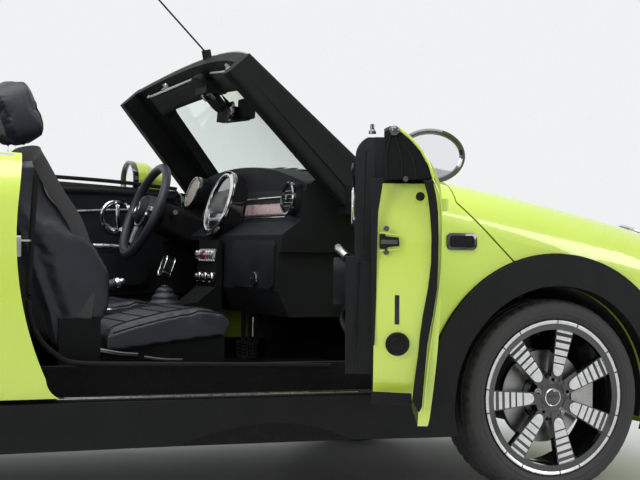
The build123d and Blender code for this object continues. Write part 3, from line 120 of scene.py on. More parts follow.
def span(tree, source, low, high, out_low, out_high):
    """Map a value from one range to another."""
    ranged = tree.nodes.new("ShaderNodeMapRange")
    ranged.inputs["From Min"].default_value = low
    ranged.inputs["From Max"].default_value = high
    ranged.inputs["To Min"].default_value = out_low
    ranged.inputs["To Max"].default_value = out_high
    tree.links.new(source, ranged.inputs["Value"])
    return ranged.outputs["Result"]


def mixed(tree, factor, first, second):
    """Blend from the first colour to the second."""
    blend = tree.nodes.new("ShaderNodeMix")
    blend.data_type = "RGBA"
    blend.inputs["A"].default_value = (*first, 1)
    blend.inputs["B"].default_value = (*second, 1)
    tree.links.new(factor, blend.inputs["Factor"])
    return blend.outputs["Result"]


def raised(tree, height, shader, strength, distance):
    """Relief from a height on a shader's normal."""
    relief = tree.nodes.new("ShaderNodeBump")
    relief.inputs["Strength"].default_value = strength
    relief.inputs["Distance"].default_value = distance
    tree.links.new(height, relief.inputs["Height"])
    tree.links.new(relief.outputs["Normal"], shader.inputs["Normal"])


def larger(tree, first, second):
    """The larger of two values."""
    node = tree.nodes.new("ShaderNodeMath")
    node.operation = "MAXIMUM"
    tree.links.new(first, node.inputs[0])
    tree.links.new(second, node.inputs[1])
    return node.outputs["Value"]


def finish_material(
    name, colour, rough, metal=0.0, second=None, blotch=6.0, grain=None, bump=0.0,
    grain_kind="ShaderNodeTexNoise", stretch=(1, 1, 1), coat=0.0, coat_rough=0.05,
    rough_spread=0.06, sheen=0.0, ior=1.5, specular=0.5,
):
    """Plain finish: two close colours in blotches, uneven roughness and a fine grain."""
    made, shader = principled(name)
    tree = made.node_tree
    shader.inputs["Metallic"].default_value = metal
    shader.inputs["IOR"].default_value = ior
    shader.inputs["Specular IOR Level"].default_value = specular
    shader.inputs["Coat Weight"].default_value = coat
    shader.inputs["Coat Roughness"].default_value = coat_rough
    shader.inputs["Sheen Weight"].default_value = sheen
    patches = noise_of(tree, blotch, detail=4)
    second = second or tuple(min(1.0, c * 1.18 + 0.002) for c in colour)
    factor = span(tree, patches.outputs["Fac"], 0.35, 0.65, 0.0, 1.0)
    tree.links.new(mixed(tree, factor, colour, second), shader.inputs["Base Color"])
    uneven = span(
        tree, patches.outputs["Fac"], 0.3, 0.7, max(0.02, rough - rough_spread),
        min(1.0, rough + rough_spread),
    )
    tree.links.new(uneven, shader.inputs["Roughness"])
    if grain:
        fine = noise_of(tree, grain, detail=2, kind=grain_kind, stretch=stretch)
        out = "Distance" if grain_kind == "ShaderNodeTexVoronoi" else "Fac"
        raised(tree, fine.outputs[out], shader, bump, 0.001)
    return made


PAINT = finish_material(
    "lime_paint", (0.46, 0.60, 0.060), 0.30, second=(0.49, 0.64, 0.070), blotch=2.0,
    grain=900, bump=0.012, coat=1.0, coat_rough=0.03,
)
CLADDING = finish_material(
    "grained_cladding", (0.0055, 0.006, 0.0065), 0.60, second=(0.009, 0.0095, 0.010), blotch=9,
    grain=650, bump=0.28, grain_kind="ShaderNodeTexVoronoi", specular=0.14,
)
GLOSS = finish_material(
    "gloss_black", (0.006, 0.006, 0.007), 0.12, second=(0.010, 0.010, 0.011), blotch=5,
    grain=300, bump=0.02, coat=1.0, coat_rough=0.02,
)
PLASTIC = finish_material(
    "cabin_plastic", (0.0030, 0.0034, 0.0038), 0.60, second=(0.005, 0.0055, 0.0062), blotch=12,
    grain=900, bump=0.30, grain_kind="ShaderNodeTexVoronoi", specular=0.12,
)
SOFT_PLASTIC = finish_material(
    "soft_dash_skin", (0.0045, 0.005, 0.006), 0.55, second=(0.007, 0.0078, 0.0095), blotch=8,
    grain=420, bump=0.38, grain_kind="ShaderNodeTexVoronoi", specular=0.16,
)
CHROME = finish_material(
    "chrome", (0.72, 0.73, 0.74), 0.09, metal=1.0, second=(0.78, 0.79, 0.80), blotch=20,
    grain=250, bump=0.01, rough_spread=0.03,
)
SATIN = finish_material(
    "satin_silver", (0.55, 0.56, 0.57), 0.30, metal=1.0, second=(0.62, 0.62, 0.63), blotch=60,
    grain=1200, bump=0.05,
)
STEEL = finish_material(
    "painted_steel", (0.05, 0.052, 0.055), 0.48, metal=0.4, second=(0.075, 0.07, 0.066),
    blotch=14, grain=300, bump=0.10,
)
IRON = finish_material(
    "brake_iron", (0.28, 0.28, 0.29), 0.34, metal=1.0, second=(0.36, 0.35, 0.34), blotch=40,
    grain=700, bump=0.14, stretch=(1, 1, 1),
)
RUBBER = finish_material(
    "tyre_rubber", (0.014, 0.014, 0.015), 0.72, second=(0.022, 0.022, 0.023), blotch=16,
    grain=700, bump=0.20,
)
SEAL = finish_material(
    "seal_rubber", (0.005, 0.005, 0.0055), 0.65, second=(0.008, 0.008, 0.0085), blotch=25,
    grain=900, bump=0.12, specular=0.14,
)
LEATHER = finish_material(
    "seat_leather", (0.010, 0.012, 0.018), 0.42, second=(0.015, 0.018, 0.026), blotch=9,
    grain=330, bump=0.42, grain_kind="ShaderNodeTexVoronoi", sheen=0.03, specular=0.35,
)
THREAD = finish_material(
    "stitching", (0.10, 0.11, 0.13), 0.7, blotch=90, grain=1500, bump=0.5,
)
CARPET = finish_material(
    "carpet", (0.005, 0.005, 0.0055), 0.95, second=(0.010, 0.010, 0.011), blotch=160,
    grain=900, bump=0.9, sheen=0.05, specular=0.1,
)
ROSE = finish_material(
    "satin_decor", (0.42, 0.30, 0.29), 0.30, metal=0.6, second=(0.47, 0.34, 0.33), blotch=30,
    grain=600, bump=0.08, stretch=(0.1, 1, 1),
)
BEIGE = finish_material(
    "display_glass", (0.30, 0.25, 0.23), 0.35, second=(0.34, 0.28, 0.26), blotch=12,
    grain=300, bump=0.01, specular=0.2,
)
SCREEN = finish_material(
    "dark_display", (0.010, 0.012, 0.016), 0.28, second=(0.016, 0.018, 0.024), blotch=14,
    grain=300, bump=0.01, specular=0.25,
)
WHITE_FACE = finish_material(
    "plate_white", (0.72, 0.72, 0.70), 0.40, second=(0.76, 0.76, 0.74), blotch=12,
    grain=500, bump=0.05,
)
RED = finish_material(
    "red_reflector", (0.30, 0.006, 0.006), 0.12, second=(0.36, 0.010, 0.008), blotch=20,
    grain=160, bump=0.5, coat=1.0,
)


def clear_material(name, colour, rough, transmission, ior=1.5, film=2.0):
    """Glass or lamp cover with a faint uneven film."""
    made, shader = principled(name)
    tree = made.node_tree
    shader.inputs["Transmission Weight"].default_value = transmission
    shader.inputs["IOR"].default_value = ior
    shader.inputs["Base Color"].default_value = (*colour, 1)
    haze = noise_of(tree, film, detail=5)
    tree.links.new(
        span(tree, haze.outputs["Fac"], 0.3, 0.7, rough, rough + 0.02), shader.inputs["Roughness"]
    )
    return made


GLASS = clear_material("window_glass", (0.86, 0.93, 0.89), 0.0, 1.0, ior=1.45)
LAMP_GLASS = clear_material("lamp_cover", (0.93, 0.95, 0.96), 0.01, 0.9)
MIRROR = finish_material(
    "mirror_glass", (0.86, 0.88, 0.90), 0.02, metal=1.0, second=(0.88, 0.90, 0.92), blotch=3,
    grain=60, bump=0.003, rough_spread=0.01,
)
TAIL_GLASS = finish_material(
    "tail_cover", (0.28, 0.008, 0.010), 0.08, second=(0.33, 0.012, 0.012), blotch=9,
    grain=150, bump=0.3, coat=1.0, coat_rough=0.02,
)
AMBER = finish_material(
    "amber_reflector", (0.55, 0.16, 0.01), 0.12, blotch=20, grain=200, bump=0.5, coat=1.0
)


def woven_material(name, colour, second, threads):
    """Canvas whose two thread directions come from crossed waves."""
    made, shader = principled(name)
    tree = made.node_tree
    shader.inputs["Sheen Weight"].default_value = 0.3
    shader.inputs["Roughness"].default_value = 0.85
    heights = []
    for turn in (0.0, math.pi / 2):
        where = tree.nodes.new("ShaderNodeTexCoord")
        spin = tree.nodes.new("ShaderNodeMapping")
        spin.inputs["Rotation"].default_value = (0.3, 0.2, turn)
        wave = tree.nodes.new("ShaderNodeTexWave")
        wave.inputs["Scale"].default_value = threads
        wave.inputs["Distortion"].default_value = 0.6
        tree.links.new(where.outputs["Object"], spin.inputs["Vector"])
        tree.links.new(spin.outputs["Vector"], wave.inputs["Vector"])
        heights.append(wave.outputs["Fac"])
    cross = larger(tree, *heights)
    tree.links.new(mixed(tree, cross, colour, second), shader.inputs["Base Color"])
    raised(tree, cross, shader, 0.6, 0.0008)
    return made


CANVAS = woven_material("canvas", (0.012, 0.012, 0.014), (0.026, 0.026, 0.030), 210)

SLOT_MATERIALS = {
    "paint": PAINT, "gloss_black": GLOSS, "cladding": CLADDING, "cabin_plastic": PLASTIC,
    "chrome": CHROME, "glass": GLASS, "lamp_glass": LAMP_GLASS, "tail_glass": TAIL_GLASS,
    "canvas": CANVAS, "seat_leather": LEATHER, "steel": STEEL, "iron": IRON, "tyre": RUBBER,
    "alloy": GLOSS,
}
NODE_MATERIALS = {
    "floor_pan": CARPET, "cabin_trim": SOFT_PLASTIC, "door_trim_right": SOFT_PLASTIC,
    "door_trim_left": SOFT_PLASTIC, "dashboard": SOFT_PLASTIC, "round_display": GLOSS,
    "scuttle": PLASTIC, "seat_bases": PLASTIC, "steering_wheel": LEATHER, "antenna": SEAL,
}
for node_name, node in nodes.items():
    chosen = NODE_MATERIALS.get(node_name)
    for index, holder in enumerate(node.material_slots):
        slot_name = holder.material.name.split(".")[0] if holder.material else ""
        node.material_slots[index].material = chosen or SLOT_MATERIALS.get(slot_name, PLASTIC)


# Mesh helpers
def link(name, mesh):
    """New object from a mesh whose points are in the car's own frame."""
    mesh.transform(Matrix.Translation(SHIFT))
    obj = bpy.data.objects.new(name, mesh)
    bpy.context.scene.collection.objects.link(obj)
    return obj


def smooth(mesh, angle=35):
    """Smooth shading, with the sharp edges kept sharp."""
    for face in mesh.polygons:
        face.use_smooth = True
    mesh.set_sharp_from_angle(angle=math.radians(angle))


def place(name, bm, body, material, angle=35, matrix=None):
    """Finish a bmesh as a piece that rides on a body."""
    bmesh.ops.remove_doubles(bm, verts=bm.verts, dist=1e-6)
    bmesh.ops.recalc_face_normals(bm, faces=bm.faces)
    mesh = bpy.data.meshes.new(name)
    bm.to_mesh(mesh)
    bm.free()
    if matrix is not None:
        mesh.transform(matrix)
    smooth(mesh, angle)
    obj = link(name, mesh)
    obj.data.materials.append(material)
    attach(obj, body)
    return obj


def piece(name, body, material, slot, draw, *details, angle=35, matrix=None, **options):
    """Piece that one call of a drawing function makes, such as add_prism."""
    bm = bmesh.new()
    draw(bm, *details, **options)
    return place(name, bm, body, material, angle, matrix)


def frame_at(origin, normal, up=(0, 0, 1)):
    """Matrix whose z is the normal, whose y is nearest to up and whose x completes them."""
    z = Vector(normal).normalized()
    x = Vector(up).cross(z).normalized()
    y = z.cross(x)
    rotation = Matrix((x, y, z)).transposed().to_4x4()
    return Matrix.Translation(Vector(origin)) @ rotation


def add_prism(bm, outline, low, high, matrix=None, bevel=0.0, segments=2):
    """Prism on a flat outline, given as (x, y) points, from height low to height high."""
    matrix = matrix or Matrix.Identity(4)
    lower = [bm.verts.new(matrix @ Vector((x, y, low))) for x, y in outline]
    upper = [bm.verts.new(matrix @ Vector((x, y, high))) for x, y in outline]
    count = len(outline)
    faces = [bm.faces.new(lower[::-1]), bm.faces.new(upper)]
    for i in range(count):
        j = (i + 1) % count
        faces.append(bm.faces.new((lower[i], lower[j], upper[j], upper[i])))
    if bevel:
        edges = [e for e in faces[1].edges]
        bmesh.ops.bevel(
            bm, geom=edges, offset=bevel, segments=segments, profile=0.6, affect="EDGES"
        )


def rounded(width, height, radius, steps=5):
    """Rounded rectangle about the origin, as (x, y) points."""
    points = []
    for cx, cy, start in (
        (width / 2 - radius, height / 2 - radius, 0),
        (radius - width / 2, height / 2 - radius, 90),
        (radius - width / 2, radius - height / 2, 180),
        (width / 2 - radius, radius - height / 2, 270),
    ):
        for step in range(steps + 1):
            angle = math.radians(start + 90 * step / steps)
            points.append((cx + radius * math.cos(angle), cy + radius * math.sin(angle)))
    return points


def add_lathe(bm, profile, matrix, steps=48, start=0.0, turn=2 * math.pi, closed=False):
    """Surface of revolution about the matrix's z axis; profile is (radius, height) points."""
    whole = abs(turn - 2 * math.pi) < 1e-6
    rings = []
    for step in range(steps if whole else steps + 1):
        angle = start + turn * step / steps
        rings.append([
            bm.verts.new(matrix @ Vector((r * math.cos(angle), r * math.sin(angle), h)))
            for r, h in profile
        ])
    pairs = len(profile) if closed else len(profile) - 1
    for step in range(steps):
        a, b = rings[step], rings[(step + 1) % len(rings)]
        for i in range(pairs):
            j = (i + 1) % len(profile)
            corners = [a[i], b[i], b[j], a[j]]
            if len({tuple(round(c, 7) for c in v.co) for v in corners}) > 2:
                bm.faces.new(corners)
    if not whole and closed:
        bm.faces.new(rings[0])
        bm.faces.new(rings[-1][::-1])


def add_tube(bm, path, radius, sides=10, closed=False, flat=1.0, up=(0, 0, 1)):
    """Tube along a path; flat below 1 squeezes its section towards a strip."""
    points = [Vector(p) for p in path]
    count = len(points)
    rings = []
    for i, point in enumerate(points):
        before = points[i - 1] if i or closed else points[0]
        after = points[(i + 1) % count] if i < count - 1 or closed else points[-1]
        along = (after - before).normalized()
        side = along.cross(Vector(up))
        if side.length < 1e-4:
            side = along.cross(Vector((1, 0, 0)))
        side.normalize()
        rise = side.cross(along).normalized()
        r = radius[i] if isinstance(radius, (list, tuple)) else radius
        rings.append([
            bm.verts.new(
                point
                + side * r * flat * math.cos(2 * math.pi * s / sides)
                + rise * r * math.sin(2 * math.pi * s / sides)
            )
            for s in range(sides)
        ])
    for i in range(count if closed else count - 1):
        a, b = rings[i], rings[(i + 1) % count]
        for s in range(sides):
            t = (s + 1) % sides
            bm.faces.new((a[s], a[t], b[t], b[s]))
    if not closed:
        bm.faces.new(rings[0][::-1])
        bm.faces.new(rings[-1])


def curve_through(points, steps=8, closed=False):
    """Smooth line through points, by a Catmull-Rom spline."""
    pts = [Vector(p) for p in points]
    count = len(pts)
    line = []
    for i in range(count if closed else count - 1):
        p0 = pts[(i - 1) % count] if closed or i else pts[0]
        p1, p2 = pts[i], pts[(i + 1) % count]
        p3 = pts[(i + 2) % count] if closed or i + 2 < count else pts[-1]
        for step in range(steps):
            t = step / steps
            line.append(
                0.5 * (2 * p1 + (p2 - p0) * t + (2 * p0 - 5 * p1 + 4 * p2 - p3) * t * t
                       + (3 * p1 - p0 - 3 * p2 + p3) * t * t * t)
            )
    if not closed:
        line.append(pts[-1])
    return line


trees = {}


def surface(*names):
    """Search tree over the CAD nodes named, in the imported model's frame."""
    if names not in trees:
        verts, faces = [], []
        for name in names:
            offset = len(verts)
            verts += [v.co.copy() for v in nodes[name].data.vertices]
            faces += [[offset + i for i in p.vertices] for p in nodes[name].data.polygons]
        trees[names] = BVHTree.FromPolygons(verts, faces)
    return trees[names]


def sight(u, v):
    """Direction of a pixel's line of sight."""
    return forward + right * (u - MIDDLE[0]) / FOCAL_PIXELS - above * (v - MIDDLE[1]) / FOCAL_PIXELS


def pick(u, v, *names):
    """Point and normal, in the car's frame, where a pixel's line of sight meets the nodes."""
    ray = sight(u, v).normalized()
    hit, normal, _, _ = surface(*names).ray_cast(EYE + SHIFT, ray, 20)
    if hit is None:
        raise ValueError(f"nothing at pixel {u}, {v} on {names}")
    if normal.dot(ray) > 0:
        normal.negate()
    return hit - SHIFT, normal


def drop(point, direction, *names, reach=3.0):
    """Point and normal where a line from a point, in the car's frame, meets the nodes."""
    way = Vector(direction).normalized()
    hit, normal, _, _ = surface(*names).ray_cast(Vector(point) + SHIFT, way, reach)
    if hit is None:
        return None, None
    if normal.dot(way) > 0:
        normal.negate()
    return hit - SHIFT, normal


# Wheels
SPOKES = 7
FIRST_SPOKE = 181.6
PAD_FACE = 0.0858
PADS = [(0.070, 0.106), (0.1105, 0.130), (0.1355, 0.151), (0.158, 0.174), (0.183, 0.195),
        (0.206, 0.216)]


def spoke_half(radius):
    """Half the width of the silver pads at a distance from the wheel's centre."""
    return 0.0125 + 0.085 * radius


def wheel_matrix(x, side):
    """Frame of a wheel whose z points outwards and whose x points forward."""
    outward = Vector((0, side, 0))
    m = Matrix((Vector((1, 0, 0)), Vector((0, 0, 1)), outward)).transposed()
    return Matrix.Translation((x, side * WHEEL_Y, WHEEL_Z)) @ m.to_4x4()


TYRE_STEPS = 216
GROOVE_DEPTH, SHOULDER_CUT, SIPE_DEPTH = 0.0068, 0.0045, 0.0030


def add_tyre(bm, m):
    """Tyre with a ribbed tread, shoulder blocks and a stepped sidewall."""
    outer = WHEEL_Z
    half = [
        (0.2456, 0.0860), (0.2500, 0.0925), (0.2560, 0.0968), (0.2640, 0.0990), (0.2670, 0.1012),
        (0.2700, 0.1000), (0.2780, 0.1018), (0.2860, 0.1012), (0.2900, 0.0996), (0.2950, 0.0972),
        (0.2990, 0.0950), (0.3020, 0.0918), (0.3050, 0.0880), (0.3075, 0.0830), (0.3090, 0.0780),
    ]
    tread = []
    for centre, width in ((0.058, 0.008), (0.021, 0.010), (-0.021, 0.010), (-0.058, 0.008)):
        tread += [
            (outer, centre + width / 2 + 0.0012),
            (outer - GROOVE_DEPTH, centre + width / 2 - 0.0008),
            (outer - GROOVE_DEPTH, centre - width / 2 + 0.0008),
            (outer, centre - width / 2 - 0.0012),
        ]
    profile = half + tread + [(r, -y) for r, y in reversed(half)]
    rings = []
    for step in range(TYRE_STEPS):
        angle = 2 * math.pi * step / TYRE_STEPS
        ring = []
        for r, y in profile:
            radius = r
            if r > 0.3035 and abs(y) > 0.064 and step % 4 == 0:
                radius = r - SHOULDER_CUT
            elif r == outer and step % 6 == (2 if y > 0 else 5):
                radius = r - SIPE_DEPTH
            ring.append(bm.verts.new(
                m @ Vector((radius * math.cos(angle), radius * math.sin(angle), y))
            ))
        rings.append(ring)
    for a, b in zip(rings, rings[1:] + rings[:1]):
        for i in range(len(profile) - 1):
            bm.faces.new((a[i], b[i], b[i + 1], a[i + 1]))
        bm.faces.new((a[-1], b[-1], b[0], a[0]))


for corner, x, side in CORNERS:
    body = f"wheel_{corner}"
    m = wheel_matrix(x, side)
    bm = bmesh.new()
    add_tyre(bm, m)
    tyre = place(f"tread_{corner}", bm, body, RUBBER, angle=28)
    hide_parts(f"tyre_{corner}")

    # silver pads along each spoke
    bm = bmesh.new()
    for count in range(SPOKES):
        turned = m @ Matrix.Rotation(
            math.radians(FIRST_SPOKE + count * 360 / SPOKES), 4, "Z"
        )
        for number, (start, end) in enumerate(PADS):
            low, high = spoke_half(start) - 0.0014, spoke_half(end) - 0.0014
            outline = [(end, -high), (end, high)]
            if number == 0:
                low = spoke_half(0.09) - 0.002
                outline = [(end, -high), (end, high), (0.092, low)]
                for step in range(1, 8):
                    angle = math.pi / 2 + math.pi * step / 8
                    outline.append(
                        (0.092 + 0.024 * math.cos(angle), low * math.sin(angle))
                    )
                outline.append((0.092, -low))
            else:
                outline += [(start, low), (start, -low)]
            add_prism(bm, outline, PAD_FACE - 0.003, PAD_FACE, turned, bevel=0.0009)
    place(f"spoke_pads_{corner}", bm, body, SATIN)

    # silver outer ring, cut either side of each spoke
    bm = bmesh.new()
    ring_profile = [(0.2335, 0.0890), (0.2445, 0.0905), (0.2448, 0.0938), (0.2425, 0.0950),
                    (0.2350, 0.0935), (0.2332, 0.0920)]
    for count in range(SPOKES):
        middle = math.radians(FIRST_SPOKE + count * 360 / SPOKES)
        cut, gap = math.radians(8.8), math.radians(0.55)
        pitch = 2 * math.pi / SPOKES
        for start, turn in (
            (middle - cut + gap, 2 * (cut - gap)), (middle + cut + gap, pitch - 2 * (cut + gap))
        ):
            add_lathe(
                bm, ring_profile, m, steps=max(4, int(turn * 28)), start=start, turn=turn,
                closed=True,
            )
    place(f"rim_ring_{corner}", bm, body, SATIN)

    # hub: scalloped cover, cap, ring and bolts
    bm = bmesh.new()
    outline = []
    for step in range(140):
        angle = 2 * math.pi * step / 140
        near = min(
            abs((angle - math.radians(FIRST_SPOKE + (k + 0.5) * 360 / SPOKES) + math.pi)
                % (2 * math.pi) - math.pi) for k in range(SPOKES)
        )
        radius = 0.070 - 0.010 * math.exp(-((near / 0.16) ** 2))
        outline.append((radius * math.cos(angle), radius * math.sin(angle)))
    add_prism(bm, outline, 0.074, 0.0815, m, bevel=0.003, segments=3)
    place(f"hub_cover_{corner}", bm, body, GLOSS)
    cap = [(0.0, 0.0885), (0.010, 0.0882), (0.018, 0.0872), (0.0235, 0.0855), (0.0248, 0.0835),
           (0.0248, 0.0800), (0.0, 0.0800)]
    piece(f"hub_cap_{corner}", body, GLOSS, "gloss_black", add_lathe, cap, m, steps=40)
    trim_ring = [(0.0250, 0.0800), (0.0280, 0.0800), (0.0284, 0.0850), (0.0268, 0.0866),
                 (0.0252, 0.0858)]
    piece(
        f"hub_ring_{corner}", body, CHROME, "chrome", add_lathe, trim_ring, m, steps=40,
        closed=True
    )
    bm = bmesh.new()
    for count in range(5):
        angle = math.radians(90 + 72 * count)
        seat = m @ Matrix.Translation((0.056 * math.cos(angle), 0.056 * math.sin(angle), 0))
        add_lathe(bm, [(0.0, 0.0840), (0.0060, 0.0840), (0.0075, 0.0828), (0.0085, 0.0800)],
                  seat, steps=6)
        add_lathe(bm, [(0.0086, 0.0812), (0.0120, 0.0812), (0.0125, 0.0822), (0.0120, 0.0830),
                       (0.0090, 0.0826)], seat, steps=20, closed=True)
    place(f"wheel_bolts_{corner}", bm, body, IRON)
    angle = math.radians(104)
    stem = m @ Matrix.Translation((0.206 * math.cos(angle), 0.206 * math.sin(angle), 0))
    piece(
        f"valve_{corner}", body, SEAL, "gloss_black", add_lathe, [(0.0, 0.078), (0.0036, 0.078),
        (0.0038, 0.070), (0.0030, 0.066), (0.0042, 0.060), (0.0052, 0.040), (0.0, 0.040)], stem,
        steps=12
    )

    # brake disc's rubbed face with its stepped inner ring and bright edge
    piece(
        f"disc_face_{corner}", body, IRON, "iron", add_lathe, [(0.0785, 0.0200), (0.0785, 0.0208),
        (0.0900, 0.0208), (0.0905, 0.0212), (0.1440, 0.0212), (0.1445, 0.0206), (0.1473, 0.0206),
        (0.1476, 0.0195), (0.1476, 0.0130), (0.1460, 0.0130), (0.1460, 0.0200)], m, steps=96,
        closed=True
    )


# Pieces placed on a surface by where the photograph shows them
def plane_point(u, v, origin, normal):
    """Point, in the car's frame, where a pixel's line of sight meets a plane."""
    ray = sight(u, v)
    return EYE + ray * ((origin - EYE).dot(normal) / ray.dot(normal))


def plane_curve(pixels, plane, lift, steps):
    """Smooth line through pixels, lifted off a plane."""
    line = [plane_point(u, v, *plane) + plane[1] * lift for u, v in pixels]
    return curve_through(line, steps)


def add_panel(bm, outline, low, high, origin, normal):
    """Flat panel over a plane, with its outline in pixels and its faces low and high off it."""
    points = [plane_point(u, v, origin, normal) for u, v in outline]
    lower = [bm.verts.new(p + normal * low) for p in points]
    upper = [bm.verts.new(p + normal * high) for p in points]
    bm.faces.new(lower[::-1])
    top = bm.faces.new(upper)
    for i in range(len(points)):
        j = (i + 1) % len(points)
        bm.faces.new((lower[i], lower[j], upper[j], upper[i]))
    return top


def panel(name, outline, low, high, plane, body, material, bevel=0.0):
    """One such panel as a piece of its own."""
    bm = bmesh.new()
    top = add_panel(bm, outline, low, high, *plane)
    if bevel:
        bmesh.ops.bevel(
            bm, geom=list(top.edges), offset=bevel, segments=3, profile=0.5, affect="EDGES"
        )
    return place(name, bm, body, material)


def boss(name, u, v, profile, plane, body, material, slot, steps=32):
    """Round piece standing on a plane at a pixel; profile is (radius, height) points."""
    bm = bmesh.new()
    add_lathe(bm, profile, frame_at(plane_point(u, v, *plane), plane[1]), steps=steps)
    return place(name, bm, body, material)


def box_piece(bm, low, high, bevel=0.004, matrix=None):
    """Box between two corners, with rounded edges."""
    made = bmesh.ops.create_cube(bm, size=1.0)["verts"]
    low, high = Vector(low), Vector(high)
    for vert in made:
        vert.co = Vector(
            [a + (b - a) * (c + 0.5) for a, b, c in zip(low, high, vert.co)]
        )
        if matrix is not None:
            vert.co = matrix @ vert.co
    edges = {e for v in made for e in v.link_edges}
    bmesh.ops.bevel(
        bm, geom=list(edges), offset=bevel, segments=2, profile=0.6, affect="EDGES"
    )


# Wheel-arch liners, which darken the wells
for corner, x, side in CORNERS:
    inner = 0.4425 if corner.startswith("front") else 0.6145
    m = Matrix.Translation((x, 0, WHEEL_Z)) @ Matrix(
        (Vector((1, 0, 0)), Vector((0, 0, 1)), Vector((0, side, 0)))
    ).transposed().to_4x4()
    profile = [(0.352, 0.797), (0.3522, 0.70), (0.3516, 0.62), (0.352, inner + 0.003),
               (0.349, inner), (0.30, inner), (0.2, inner), (0.17, inner)]
    piece(
        f"arch_liner_{corner}", "body", CARPET, "cladding", add_lathe, profile, m, steps=60,
        start=math.radians(-12), turn=math.radians(204)
    )

# Right door: the shut face that the open door shows
SHUT_FACE_PIXEL = (400, 300)
face_point, face_normal = pick(*SHUT_FACE_PIXEL, "door_right")
FACE = (face_point, face_normal)
DOOR = "door_right"
DOOR_SEAL_PIXELS = [
    (423.5, 180), (427.5, 195), (431, 212), (431.5, 238), (431, 263), (428, 288), (423, 314),
    (420, 335), (418, 355), (415, 376), (412, 400), (419, 412), (422, 406), (424, 380), (427, 345),
    (430, 328), (433, 314), (437, 288), (438, 263), (438.5, 238), (438, 212), (436, 195),
    (432.5, 180),
]
panel(
    "door_seal_right", DOOR_SEAL_PIXELS, -0.002, 0.010, FACE, DOOR, SEAL,
    bevel=0.003
)
LATCH_PLATE_PIXELS = [
    (379.5, 234), (385, 234), (386, 236.5), (399, 237.5), (399.5, 246), (388, 246.5), (386.5, 249),
    (379.5, 248.5),
]
panel(
    "latch_plate_right", LATCH_PLATE_PIXELS, -0.002, 0.0035, FACE, DOOR, SEAL,
    bevel=0.001
)
LATCH_SLOT_PIXELS = [(381, 239.4), (397.5, 239.8), (397.5, 244), (381, 243.6)]
panel(
    "latch_slot_right", LATCH_SLOT_PIXELS, 0.003, 0.0045, FACE, DOOR, STEEL, bevel=0.0004
)
LATCH_SCREW_PIXELS = (("a", 386.4, 228.6), ("b", 386.2, 252.2), ("c", 405.6, 178.8))
for tag, u, v in LATCH_SCREW_PIXELS:
    boss(f"latch_screw_{tag}", u, v, [(0.0, 0.0020), (0.0015, 0.0016), (0.0030, 0.0030),
         (0.0052, 0.0026), (0.0066, 0.0008), (0.0068, -0.001)], FACE, DOOR, STEEL, "steel", 24)
DOOR_GROMMET_PIXEL = (420.3, 196.5)
boss(
    "door_grommet_right", *DOOR_GROMMET_PIXEL, [(0.0, 0.004), (0.006, 0.0042), (0.009, 0.003),
    (0.0105, -0.001)], FACE, DOOR, SEAL, "cladding", 28
)
DOOR_PLUG_PIXEL = (397.4, 344.3)
boss(
    "door_plug_right", *DOOR_PLUG_PIXEL, [(0.0, 0.0030), (0.0120, 0.0030), (0.0137, 0.0042),
    (0.0153, 0.0030), (0.0202, 0.0028), (0.0222, 0.0046), (0.0266, 0.0040), (0.0282, -0.001)], FACE,
    DOOR, SEAL, "cladding", 48
)
DOOR_LABEL_SPACE_PIXELS = [(394.8, 295), (399.4, 295.3), (399.2, 324.6), (394.6, 324.3)]
panel(
    "door_label_space_right", DOOR_LABEL_SPACE_PIXELS, -0.001, 0.0006, FACE, DOOR, SCREEN,
    bevel=0.0002
)
LATCH_PRESSING_PIXELS = (
    [(379.2, 231.6), (400.2, 234.8), (400.4, 235.8), (379.2, 232.8)],
    [(379.2, 250.2), (400.2, 248.4), (400.4, 249.4), (379.2, 251.4)],
)
bm = bmesh.new()
for outline in LATCH_PRESSING_PIXELS:
    add_panel(bm, outline, -0.001, 0.0012, *FACE)
place("latch_pressing_right", bm, DOOR, PAINT)
# hem of the outer skin, folded over the shut face
HEM_PIXELS = [
    (432.5, 178), (439.5, 196), (441.5, 214), (441.8, 240), (441.3, 265), (438, 295),
    (433.5, 325), (428.5, 360), (425, 392), (423, 418),
]
piece(
    "door_hem_right", DOOR, PAINT, "paint", add_tube, plane_curve(HEM_PIXELS, FACE, 0.0005, 5),
    0.0022, sides=8
)
# dark window slot at the top, between the trim and the skin
WINDOW_SLOT_PIXELS = [
    (384.5, 131.5), (390, 128.8), (395, 128.4), (404, 134.5), (412, 142), (420, 151.5),
    (426, 162.5), (430.5, 177), (429.8, 179.4), (384.2, 179.4),
]
panel(
    "window_slot_right", WINDOW_SLOT_PIXELS, -0.070, 0.0008, FACE, DOOR, PLASTIC,
    bevel=0.002
)
SLOT_SEAL_PIXELS = (
    [(387, 178), (386.5, 160), (388, 145), (391, 134)],
    [(402, 178), (401.5, 160), (399, 147), (395, 136)],
    [(416, 178), (414, 164), (408.5, 151), (401, 141)],
)
bm = bmesh.new()
for line in SLOT_SEAL_PIXELS:
    add_tube(bm, plane_curve(line, FACE, 0.0012, 4), 0.0028, sides=8)
place("window_slot_seals_right", bm, DOOR, SEAL)
WINDOW_SLOT_CAP_PIXEL = (394.6, 131.0)
boss(
    "window_slot_cap_right", *WINDOW_SLOT_CAP_PIXEL, [(0.0, 0.013), (0.006, 0.0122),
    (0.0105, 0.0085), (0.0125, 0.003), (0.0125, -0.004)], FACE, DOOR, GLOSS, "gloss_black", 28
)
# bright upper edge of the skin
TOP_EDGE_PIXELS = [
    (397, 127.5), (406, 134), (414.5, 142), (422.5, 152), (429, 164), (433.5, 178),
]
piece(
    "door_top_edge_right", DOOR, PAINT, "paint", add_tube,
    plane_curve(TOP_EDGE_PIXELS, FACE, 0.001, 5), 0.0032, sides=8
)

